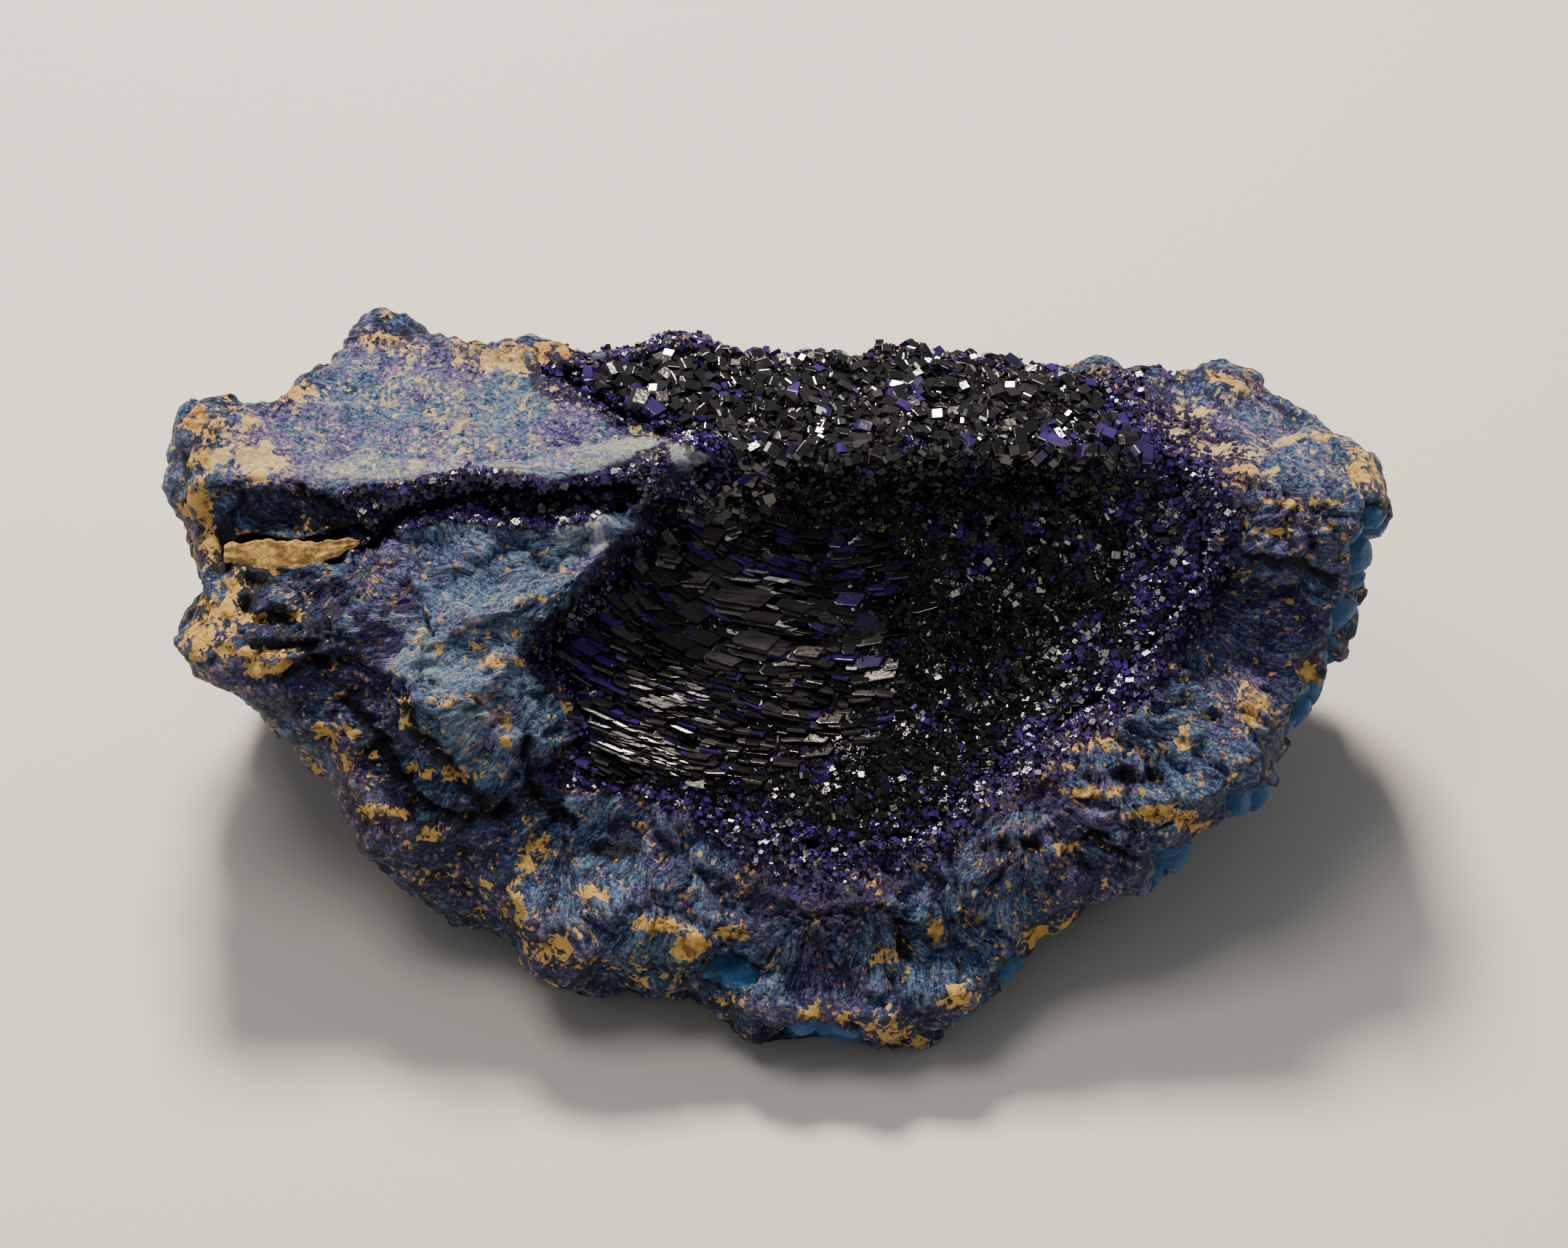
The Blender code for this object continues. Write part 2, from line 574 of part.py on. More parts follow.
def build_crust(home, cutters):
    """The hollow's crust in the face's frame."""
    def bed(a, b):
        return float(crust_surface(np.array(a), np.array(b)))

    crust = field_block("crystal_crust", bed, -2 * CUT_TOP, home)
    blocks = grow("crystals", crust_crystal, CRYSTAL_FIELD, CRYSTAL_SPACING / MM, cutters)
    fuse(crust, blocks, over_floor("clear_of_pocket", inset(POCKET, GAP / MM), GAP / MM, cutters))
    return crust


def build_crevice_crust(home, cutters):
    """The crevice's crust in the face's frame."""
    top = CREVICE_CRUST - CREVICE_DEPTH
    crust = prism("crevice_crust", CREVICE, -2 * CREVICE_DEPTH, top, home)
    blocks = grow("small_crystals", crevice_crystal, CREVICE, SMALL_SPACING / MM, cutters)
    room = inset(CREVICE, GAP / MM)
    fuse(crust, blocks, prism("clear_of_crevice", room, GAP - CREVICE_DEPTH, CUT_TOP, cutters))
    return crust


def stand_up(objects):
    """Leans the objects back on the ground, with the origin under the middle of them all."""
    for obj in objects:
        obj.data.transform(Matrix.Rotation(FACE_LEAN, 4, "X"))
    points = np.concatenate([points_of(obj.data) for obj in objects])
    middle = (points.min(axis=0) + points.max(axis=0)) / 2
    shift = Vector((-middle[0], -middle[1], -points[:, 2].min())) * MM
    for obj in objects:
        obj.data.transform(Matrix.Translation(shift))


def main():
    """Builds the specimen's three solids."""
    clear_scene()
    home = collection("azurite_specimen")
    cutters = collection("cutters")
    matrix = build_matrix(home, cutters)
    crusts = [build_crust(home, cutters), build_crevice_crust(home, cutters)]
    stand_up([matrix, *crusts])
    matrix.data.materials.append(material("massive_azurite", (0.03, 0.07, 0.22), 0.75))
    for crust in crusts:
        crust.data.materials.append(material("azurite_crystal", (0.006, 0.006, 0.03), 0.12))
    cutters.hide_render = True
    for obj in cutters.objects:
        obj.hide_render = True
        obj.display_type = "WIRE"


if __name__ == "__main__":
    main()
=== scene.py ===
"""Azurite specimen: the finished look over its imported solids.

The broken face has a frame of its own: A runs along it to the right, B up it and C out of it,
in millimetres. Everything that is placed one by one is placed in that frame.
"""

from __future__ import annotations

import logging
import math
import random
from dataclasses import dataclass, field
from enum import Enum
from functools import partial
from types import SimpleNamespace
from typing import Callable, Sequence

import bmesh
import bpy
import numpy as np
from mathutils import Matrix, Vector, noise
from mathutils.bvhtree import BVHTree


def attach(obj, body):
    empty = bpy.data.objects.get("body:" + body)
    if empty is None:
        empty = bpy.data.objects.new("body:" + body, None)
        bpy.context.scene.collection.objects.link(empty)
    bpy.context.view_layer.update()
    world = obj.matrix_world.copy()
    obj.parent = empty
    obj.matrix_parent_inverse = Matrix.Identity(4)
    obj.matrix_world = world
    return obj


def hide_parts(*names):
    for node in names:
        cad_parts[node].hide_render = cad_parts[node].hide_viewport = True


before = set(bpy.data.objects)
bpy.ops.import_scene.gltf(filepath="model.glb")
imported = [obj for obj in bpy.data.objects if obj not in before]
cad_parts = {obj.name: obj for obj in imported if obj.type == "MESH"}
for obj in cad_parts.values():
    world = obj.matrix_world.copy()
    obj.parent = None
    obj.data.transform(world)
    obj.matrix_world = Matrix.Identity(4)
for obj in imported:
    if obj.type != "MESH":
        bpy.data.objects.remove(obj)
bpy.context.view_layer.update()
LOG = logging.getLogger("azurite_specimen")
MM = 0.001
NOISE_SEED = 5  # noise_vector would start from the clock without one
OVER_ALL = 30.0  # mm over the face, higher than anything on it
BEHIND_ALL = 75.0  # mm up the face, past its upper edge
ROW_STEP = 0.87  # between close-packed rows, as a share of the spacing in a row
Outline = Sequence[tuple[float, float]]
Socket = bpy.types.NodeSocket

POCKET: Outline = (
    (-19.5, 62.0), (-15.0, 61.8), (-10.6, 63.4), (-4.0, 64.2), (2.8, 65.2), (12.8, 65.2),
    (20.8, 63.4), (27.5, 61.0), (30.6, 57.0), (34.4, 53.0), (36.4, 48.0), (36.2, 43.4),
    (33.0, 39.4), (28.8, 34.2), (21.0, 29.4), (16.2, 25.4), (12.6, 22.0), (4.8, 20.6),
    (-2.0, 22.6), (-7.4, 24.8), (-14.0, 26.0), (-18.8, 26.4), (-16.2, 29.8), (-16.8, 33.4),
    (-19.6, 36.8), (-15.4, 41.0), (-11.4, 46.2), (-9.0, 50.2), (-3.6, 54.4), (-9.2, 56.2),
    (-12.6, 57.6), (-16.6, 60.4),
)
CREVICE: Outline = (
    (-46.5, 47.2), (-40.0, 46.8), (-34.0, 48.4), (-30.0, 50.7), (-22.0, 51.4), (-15.0, 51.7),
    (-9.6, 52.6), (-10.4, 51.0), (-15.5, 48.9), (-21.0, 47.8), (-28.5, 48.9), (-33.0, 47.2),
    (-37.0, 45.6), (-45.0, 44.9),
)
FACE_EDGE: Outline = (
    (-49.0, 53.0), (-46.5, 57.5), (-42.0, 58.8), (-39.0, 62.8), (-33.0, 64.8), (-28.0, 64.2),
    (-20.5, 62.4), (-12.0, 63.2), (0.0, 62.6), (23.0, 61.0), (34.0, 60.6), (41.0, 60.0),
    (46.0, 56.2), (50.2, 52.0), (49.4, 47.0), (47.2, 42.6), (45.4, 38.0), (44.4, 33.0),
    (42.0, 29.6), (41.2, 25.8), (36.4, 24.0), (32.2, 20.0), (27.0, 17.2), (22.0, 14.2),
    (17.0, 10.0), (12.0, 6.6), (4.0, 6.8), (-4.0, 8.6), (-10.0, 11.4), (-16.0, 11.0),
    (-20.0, 14.6), (-23.6, 20.4), (-29.6, 21.8), (-33.6, 25.2), (-37.6, 29.6), (-41.0, 33.6),
    (-45.6, 37.8), (-48.2, 42.0), (-48.6, 47.6),
)
BROW: Outline = ((-53, 52.6), (-36, 51.6), (-26, 52.4), (-14, 52.9), (-4, 53.8), (10, 54.2),
                 (24, 54.0), (36, 53.4), (53, 51.0))
SEAM_SPREAD: Outline = (
    (-37.4, 51.0), (-32.0, 51.6), (-28.2, 52.3), (-25.9, 53.1), (-18.3, 51.8), (-14.5, 52.7),
    (-9.5, 54.2), (-9.0, 53.0), (-10.6, 52.0), (-14.5, 50.8), (-19.0, 50.4), (-22.1, 48.9),
    (-24.8, 48.5), (-27.8, 49.6), (-31.3, 50.2), (-36.2, 48.9),
)
BACK_EDGE: Outline = (
    (-20.0, 61.4), (-12.0, 62.6), (-6.0, 63.4), (-1.0, 62.2), (6.0, 62.4), (15.0, 62.2),
    (23.0, 61.0), (28.0, 60.6), (34.0, 60.0),
)
ROSETTE = (6.1, 53.5)  # the middle of the rings of plates
RING_WIDTH = 1.5  # how much wider the rings are than high
RING_SWEEP = (165.0, 305.0)  # degrees, the part of a full ring that they cover


def smooth(x: np.ndarray | float, low: float, high: float) -> np.ndarray:
    """Eases from 0 at low to 1 at high.

    Args:
        x: Where to read the curve.
        low: Where it is 0; it may be the larger of the two.
        high: Where it is 1.

    Returns:
        The curve's height at each x.
    """
    t = np.clip((np.asarray(x, float) - low) / (high - low), 0, 1)
    return t * t * (3 - 2 * t)


def height_of(line: Outline, a: np.ndarray | float) -> np.ndarray:
    """Reads how far up the face a chain is that runs from left to right.

    Args:
        line: The chain's corners.
        a: Where along the face, in millimetres.

    Returns:
        The chain's B there, in millimetres.
    """
    return np.interp(a, *zip(*line))


def distance_to(a: np.ndarray, b: np.ndarray, line: Outline) -> np.ndarray:
    """Measures how far points of the face are from a chain of straight pieces.

    Args:
        a: The points' A, in millimetres.
        b: The points' B, in millimetres.
        line: The chain's corners.

    Returns:
        The distance of each point, in millimetres.
    """
    best = np.full(np.shape(a), np.inf)
    for (a0, b0), (a1, b1) in zip(line, line[1:]):
        da, db = a1 - a0, b1 - b0
        along = np.clip(((a - a0) * da + (b - b0) * db) / (da * da + db * db), 0, 1)
        best = np.minimum(best, np.hypot(a - a0 - along * da, b - b0 - along * db))
    return best


def inside(a: np.ndarray, b: np.ndarray, outline: Outline) -> np.ndarray:
    """Finds which points of the face an outline holds.

    Args:
        a: The points' A, in millimetres.
        b: The points' B, in millimetres.
        outline: The outline's corners.

    Returns:
        True for each point inside.
    """
    found = np.zeros(np.shape(a), bool)
    for (a0, b0), (a1, b1) in zip(outline, (*outline[1:], outline[0])):
        spans = (b0 > b) != (b1 > b)
        crossing = a0 + (b - b0) * (a1 - a0) / (b1 - b0 if b1 != b0 else 1.0)
        found ^= spans & (a < crossing)
    return found


def depth_into(a: np.ndarray, b: np.ndarray, outline: Outline) -> np.ndarray:
    """Measures how deep points lie inside an outline; outside it the answer is negative."""
    edge = distance_to(a, b, (*outline, outline[0]))
    return np.where(inside(a, b, outline), edge, -edge)


def box_round(outline: Outline, margin: float = 1.0) -> tuple[float, float, float, float]:
    """Returns the least and greatest A of an outline, then those of B, with a margin."""
    a, b = zip(*outline)
    return min(a) - margin, max(a) + margin, min(b) - margin, max(b) + margin


def crust_surface(a: np.ndarray, b: np.ndarray) -> np.ndarray:
    """Gives C of the hollow's crystal surface: a level shelf, a steep wall, then a rising floor.

    Args:
        a: Where along the face, in millimetres.
        b: Where up the face, in millimetres.

    Returns:
        C in millimetres.
    """
    bowl = -7.5 * smooth(b, 55.5, 49.0) * smooth(b, 19.0, 45.0)
    bowl = bowl * smooth(a, 38, 20) * (0.55 + 0.45 * smooth(a, -20, -2))
    return np.minimum(bowl, height_of(BROW, a) - b + 0.8)


def rim_width(a: np.ndarray, b: np.ndarray) -> np.ndarray:
    """Tells how far fine crystals spread over the stone past the hollow's edge.

    Args:
        a: Where along the face, in millimetres.
        b: Where up the face, in millimetres.

    Returns:
        The width of their rim there, in millimetres.
    """
    right = smooth(a, 14, 28) * smooth(b, 66, 58)
    low = smooth(b, 34, 26) * smooth(a, -12, -2)
    left = 0.3 * smooth(a, -6, -9) * smooth(b, 33, 37) * smooth(b, 55, 52)
    return 1.0 + 4.0 * np.maximum(np.maximum(right, low), left)


@dataclass(frozen=True)
class FaceFrame:
    """The broken face's place in the specimen: leaned back, then shifted."""

    lean: float = math.radians(45)
    shift: tuple[float, float, float] = (-0.324, -33.326, 3.0)

    def placing(self) -> Matrix:
        """Returns the matrix from the face's millimetres to the specimen's metres."""
        turn = Matrix.Rotation(self.lean, 4, "X")
        return Matrix.Scale(MM, 4) @ Matrix.Translation(self.shift) @ turn

    def to_face(self, points: np.ndarray) -> np.ndarray:
        """Turns points in the specimen's metres into (A, B, C) in millimetres.

        Args:
            points: One row a point.

        Returns:
            One row a point.
        """
        back = np.array(self.placing().inverted())
        return points @ back[:3, :3].T + back[:3, 3]


FACE = FaceFrame()


def points_of(mesh: bpy.types.Mesh, key: str = "co") -> np.ndarray:
    """Returns the mesh's points, or with the key "normal" their normals, one row each."""
    flat = np.empty(len(mesh.vertices) * 3)
    mesh.vertices.foreach_get(key, flat)
    return flat.reshape(-1, 3)


def put_points(mesh: bpy.types.Mesh, points: np.ndarray) -> None:
    """Writes the points back to the mesh."""
    mesh.vertices.foreach_set("co", points.ravel())
    mesh.update()


def put_attribute(mesh: bpy.types.Mesh, name: str, values: np.ndarray) -> None:
    """Stores one number, or one vector, for each point of the mesh.

    Args:
        mesh: The mesh that gets the attribute.
        name: The attribute's name.
        values: A row of numbers, or three columns of them.
    """
    kind, key = ("FLOAT", "value") if values.ndim == 1 else ("FLOAT_VECTOR", "vector")
    layer = mesh.attributes.new(name, kind, "POINT")
    layer.data.foreach_set(key, np.ascontiguousarray(values, np.float32).ravel())


def finished_mesh(obj: bpy.types.Object) -> bpy.types.Mesh:
    """Applies an object's modifiers.

    Args:
        obj: The object, whose modifiers are cleared.

    Returns:
        Its new mesh.
    """
    bpy.context.view_layer.update()
    graph = bpy.context.evaluated_depsgraph_get()
    mesh = bpy.data.meshes.new_from_object(obj.evaluated_get(graph))
    obj.modifiers.clear()
    obj.data = mesh
    return mesh


def mesh_from(shape: bmesh.types.BMesh, name: str) -> bpy.types.Mesh:
    """Turns a shape into a new mesh, and frees the shape."""
    mesh = bpy.data.meshes.new(name)
    shape.to_mesh(mesh)
    shape.free()
    return mesh


def new_piece(name: str, mesh: bpy.types.Mesh) -> bpy.types.Object:
    """Puts a mesh into the scene under a piece's name."""
    piece = bpy.data.objects.new(name, mesh)
    bpy.context.scene.collection.objects.link(piece)
    return piece


def report(piece: bpy.types.Object) -> None:
    """Logs a piece's name and its number of triangles."""
    piece.data.calc_loop_triangles()
    LOG.info("%s: %d triangles", piece.name, len(piece.data.loop_triangles))


def linear(colour: str) -> tuple[float, float, float, float]:
    """Turns an sRGB hex colour into Blender's linear one.

    Args:
        colour: Such as "#2a3b66".

    Returns:
        Red, green, blue and an alpha of 1.
    """
    parts = [int(colour[i : i + 2], 16) / 255 for i in (1, 3, 5)]
    r, g, b = (p / 12.92 if p <= 0.04045 else ((p + 0.055) / 1.055) ** 2.4 for p in parts)
    return r, g, b, 1.0


def add_node(
    tree: bpy.types.NodeTree,
    kind: str,
    feeds: dict | Sequence = (),
    give: int | str = 0,
    **settings: object,
) -> Socket:
    """Adds a shader node with its settings and links.

    Args:
        tree: The material's nodes.
        kind: The node's type, without the word that all shader nodes start with.
        feeds: The values or outputs that go into its inputs, in order or by name or number.
        give: Which output is wanted.
        settings: The node's own settings.

    Returns:
        That output.
    """
    node = tree.nodes.new(f"ShaderNode{kind}")
    for name, value in settings.items():
        setattr(node, name, value)
    for key, value in feeds.items() if isinstance(feeds, dict) else enumerate(feeds):
        if isinstance(value, Socket):
            tree.links.new(value, node.inputs[key])
        elif isinstance(value, str):
            node.inputs[key].default_value = linear(value)
        else:
            node.inputs[key].default_value = value
    return node.outputs[give]


def blank_finish(name: str) -> tuple[bpy.types.Material, Callable, dict]:
    """Starts a material.

    Args:
        name: Its name.

    Returns:
        The material, the call that adds a node to it, and its shader's inputs.
    """
    made = bpy.data.materials.new(name)
    made.use_nodes = True
    return made, partial(add_node, made.node_tree), made.node_tree.nodes["Principled BSDF"].inputs


@dataclass(frozen=True)
class FibrousAzurite:
    """Massive azurite grown as sheaves of fibres and broken across, with ochre clay caught in it.

    It gives the eye dull dark blue, streaked along the fibres, with painted shade in its grooves,
    greyer on its crests where it is bruised, with painted highlight there, and matt gold where
    clay dusts it. Its grown skin is a deeper blue, partly painted shade, with a network of clay.
    """

    # Darkest tone: painted shade in the grooves, cracks and pits.
    groove_shade: str = "#070c20"
    body: str = "#1a3569"
    # Lighter tone on the crests of the relief, partly painted highlight.
    lit_crest: str = "#6084a8"
    # Palest grey on the crests: bruising and painted highlight.
    bruise_and_highlight: str = "#b9bec1"
    plum: str = "#231a54"
    # The plum stone's colour for its crests, partly painted highlight.
    lilac: str = "#6b63a2"
    ochre: str = "#a57836"
    gold: str = "#f2c56c"
    # Palest clay colour, on the bruised crests and the plateau's top: partly painted highlight.
    cream: str = "#f0e2bc"
    violet: str = "#0c0722"
    violet_glint: str = "#45358a"
    azure: str = "#3a78b6"
    streak: float = 0.42  # mm between streaks of colour along the fibres
    hair: float = 0.17  # mm between single fibres
    bundle: float = 1.5  # mm between bundles of fibres
    crumb: float = 0.33  # mm, a crumb of dust
    grit: float = 0.38  # mm, a grain of clay or stone
    clump: float = 3.2  # mm, a clump of such grains
    nugget: float = 1.15  # mm, a nugget of clay
    cloud: float = 8.0  # mm, a change of hue
    ragged: float = 1.5  # mm, the tears in a patch of clay
    lump: float = 1 / 0.9  # mm, a lump of stone
    stretch: float = 1 / 0.19  # mm, a stretch of skin that holds clay
    relief: float = 2.2  # mm, the height of the bumps that are only shading

    def material(self) -> bpy.types.Material:
        """Makes the material.

        Returns:
            The finish, which reads the piece's own attributes.
        """
        made, node, shader = blank_finish("fibrous_azurite_broken")
        names = ("skin", "rise", "top", "clay", "pale", "violet", "azure", "crack")
        stored = {name: node("Attribute", give="Fac", attribute_name=name) for name in names}
        here, marks = SimpleNamespace(**stored), self.patterns(node)
        colour, relief, worn_and_lit = self.stone(node, here, marks)
        packed, dusty = self.clay(node, here, marks)
        earth = self.earth(node, here, marks, worn_and_lit)

        # The skin's smooth azure lobes, then the violet bloom of the finest crystals.
        lobe = node("Math", (here.azure, 0.9, marks.crumbs), operation="MULTIPLY_ADD")
        lobe = node("MapRange", (lobe, 0.9, 1.1), interpolation_type="SMOOTHSTEP")
        glint = node("MapRange", (marks.crumbs, 0.47, 0.60))
        bloom = node("Mix", {0: glint, 6: self.violet, 7: self.violet_glint}, 2, data_type="RGBA")
        spread = node("Math", (marks.lumps, 1.8, here.violet), operation="MULTIPLY_ADD")
        spread = node("MapRange", (spread, 1.30, 1.75), interpolation_type="SMOOTHSTEP")
        for share, over in ((lobe, self.azure), (spread, bloom), (dusty, earth)):
            colour = node("Mix", {0: share, 6: colour, 7: over}, 2, data_type="RGBA")

        height = node("Mix", {0: 0.45, 2: relief, 3: marks.crumbs}, data_type="FLOAT")
        swell = node("Math", (marks.rounds, packed), operation="MULTIPLY")
        for value, weight in ((dusty, 0.05), (swell, -0.28)):
            height = node("Math", (value, weight, height), operation="MULTIPLY_ADD")
        bumps = node("Bump", {"Strength": 1.0, "Distance": self.relief * MM, "Height": height})
        matt = node("MapRange", (marks.crumbs, 0.4, 0.65, 0.30, 0.8))
        matt = node("Math", (matt, packed), operation="MAXIMUM")
        for output, name in ((colour, "Base Color"), (matt, "Roughness"), (bumps, "Normal")):
            made.node_tree.links.new(output, shader[name])
        shader["IOR"].default_value = 1.6
        shader["Specular IOR Level"].default_value = 0.35
        return made

    def patterns(self, node: Callable) -> SimpleNamespace:
        """Adds the patterns that the finish is mixed from.

        Args:
            node: The call that adds a node to the material.

        Returns:
            The patterns by name.
        """
        spot = node("TexCoord", give="Object")
        spot = node("VectorMath", {0: spot, "Scale": 1 / MM}, operation="SCALE")
        grain = node("Attribute", give="Vector", attribute_name="grain")
        made = {}
        for name, along, across, detail, rough in (
            ("streaks", 0.35, 1 / self.streak, 6.0, 0.72),
            ("hairs", 0.7, 1 / self.hair, 3.0, 0.6),
            ("bundles", 0.22, 1 / self.bundle, 5.0, 0.65),
            ("tears", 0.35, 1 / self.ragged, 6.0, 0.7),
            ("specks", 0.6, 1.6, 7.0, 0.85),
        ):
            place = node("VectorMath", (grain, (along, across, 1.0)), operation="MULTIPLY")
            feeds = {0: place, "Scale": 1.0, "Detail": detail, "Roughness": rough}
            made[name] = node("TexNoise", feeds)
        for name, size, detail, rough in (
            ("crumbs", self.crumb, 5.0, 0.75),
            ("lumps", self.lump, 7.0, 0.72),
            ("clouds", self.cloud, 5.0, 0.6),
            ("stretches", self.stretch, 6.0, 0.62),
            ("clumps", self.clump, 4.0, 0.6),
        ):
            feeds = {0: spot, "Scale": 1 / size, "Detail": detail, "Roughness": rough}
            made[name] = node("TexNoise", feeds)
        cells = (("grit", self.grit, 1), ("nuggets", self.nugget, 1), ("rounds", self.nugget, 0))
        for name, size, output in cells:
            made[name] = node("TexVoronoi", {0: spot, "Scale": 1 / size}, output)
        return SimpleNamespace(**made)

    def stone(
        self, node: Callable, here: SimpleNamespace, marks: SimpleNamespace
    ) -> tuple[Socket, Socket, Socket]:
        """Adds blue and plum stone, darkest in its grooves as painted shade, and pale on its crests
        from bruising and painted highlight.

        Args:
            node: The call that adds a node to the material.
            here: What the piece stores for each point.
            marks: The patterns.

        Returns:
            The stone's colour, its relief, and how bruised and lit its crests are, with painted
            highlight.
        """
        crumbly = node("Mix", {0: 0.12, 2: marks.lumps, 3: marks.grit}, data_type="FLOAT")
        level = node("Math", (here.top, 0.5, here.skin), operation="MULTIPLY_ADD")
        relief = marks.streaks
        for share, other in ((0.38, marks.bundles), (0.36, marks.hairs), (level, crumbly)):
            relief = node("Mix", {0: share, 2: relief, 3: other}, data_type="FLOAT")
        tone = node("Mix", {0: 0.36, 2: relief, 3: marks.crumbs}, data_type="FLOAT")
        # The tone is painted lighter on raised points and on the plateau's top, and darker on the skin
        # and in cracks, pits and dark patches: painted light and shade.
        for value, weight in (
            (here.rise, 0.035), (here.top, 0.018), (here.skin, -0.03), (here.crack, -0.12),
            (here.pale, 0.055),
        ):
            tone = node("Math", (value, weight, tone), operation="MULTIPLY_ADD")
        deep, high, worn_and_lit = (
            node("MapRange", (tone, least, most), interpolation_type="SMOOTHSTEP")
            for least, most in ((0.41, 0.48), (0.475, 0.55), (0.54, 0.64))
        )
        sorts = []
        for body, lit_crest in ((self.body, self.lit_crest), (self.plum, self.lilac)):
            sort = self.groove_shade
            for share, over in ((deep, body), (high, lit_crest)):
                sort = node("Mix", {0: share, 6: sort, 7: over}, 2, data_type="RGBA")
            sorts.append(sort)
        hue = node("Mix", {0: 0.5, 2: marks.clouds, 3: marks.lumps}, data_type="FLOAT")
        for value, weight in ((here.skin, -0.005), (here.top, 0.03)):
            hue = node("Math", (value, weight, hue), operation="MULTIPLY_ADD")
        hue = node("MapRange", (hue, 0.49, 0.56), interpolation_type="SMOOTHSTEP")
        colour = node("Mix", {0: hue, 6: sorts[0], 7: sorts[1]}, 2, data_type="RGBA")
        # Pale grey on the highest tone: bruising and painted highlight.
        colour = node("Mix", {0: worn_and_lit, 6: colour, 7: self.bruise_and_highlight}, 2, data_type="RGBA")
        return colour, relief, worn_and_lit

    def clay(
        self, node: Callable, here: SimpleNamespace, marks: SimpleNamespace
    ) -> tuple[Socket, Socket]:
        """Adds where the clay is: thick patches with torn edges, and grains along the fibres.

        Args:
            node: The call that adds a node to the material.
            here: What the piece stores for each point.
            marks: The patterns.

        Returns:
            The thick patches, and those patches with the grains.
        """
        tears = marks.tears
        for share, other in ((here.skin, marks.lumps), (0.26, marks.grit), (0.30, marks.nuggets)):
            tears = node("Mix", {0: share, 2: tears, 3: other}, data_type="FLOAT")
        caught = node("Math", (here.rise, -0.025, marks.stretches), operation="MULTIPLY_ADD")
        caught = node("MapRange", (caught, 0.53, 0.60), interpolation_type="SMOOTHSTEP")
        caught = node("Math", (caught, here.skin), operation="MULTIPLY")
        packed = here.clay
        for value, weight in ((tears, 3.6), (caught, 0.7), (here.azure, -0.9)):
            packed = node("Math", (value, weight, packed), operation="MULTIPLY_ADD")
        packed = node("MapRange", (packed, 2.42, 2.58), interpolation_type="SMOOTHSTEP")
        clumps = node("Math", (here.top, 0.08, marks.clumps), operation="MULTIPLY_ADD")
        clumps = node("MapRange", (clumps, 0.50, 0.66), interpolation_type="SMOOTHSTEP")
        specks = node("Mix", {0: 0.30, 2: marks.specks, 3: marks.grit}, data_type="FLOAT")
        for value, weight in (
            (clumps, 0.075), (here.clay, 0.045), (here.crack, -0.05), (here.top, 0.012),
            (here.azure, -0.06),
        ):
            specks = node("Math", (value, weight, specks), operation="MULTIPLY_ADD")
        specks = node("MapRange", (specks, 0.605, 0.665), interpolation_type="SMOOTHSTEP")
        specks = node("Math", (specks, 0.85), operation="MULTIPLY")
        return packed, node("Math", (packed, specks), operation="MAXIMUM")

    def earth(
        self, node: Callable, here: SimpleNamespace, marks: SimpleNamespace, worn_and_lit: Socket
    ) -> Socket:
        """Adds the clay's colour: ochre, gold where its grains stand up, cream on the bruised crests and
        on the plateau's top, partly painted highlight.

        Args:
            node: The call that adds a node to the material.
            here: What the piece stores for each point.
            marks: The patterns.
            worn_and_lit: How bruised and lit the stone's crests are, with painted highlight.

        Returns:
            The colour.
        """
        light = marks.grit
        for share, other in ((0.5, marks.nuggets), (0.4, marks.crumbs)):
            light = node("Mix", {0: share, 2: light, 3: other}, data_type="FLOAT")
        light = node("MapRange", (light, 0.40, 0.58), interpolation_type="SMOOTHSTEP")
        # Cream on the plateau's top and on the bruised crests: partly painted highlight.
        dry = node("Math", (here.top, 0.45), operation="MULTIPLY")
        dry = node("Math", (worn_and_lit, 0.6, dry), operation="MULTIPLY_ADD")
        colour = self.ochre
        for share, over in ((light, self.gold), (dry, self.cream)):
            colour = node("Mix", {0: share, 6: colour, 7: over}, 2, data_type="RGBA")
        return colour


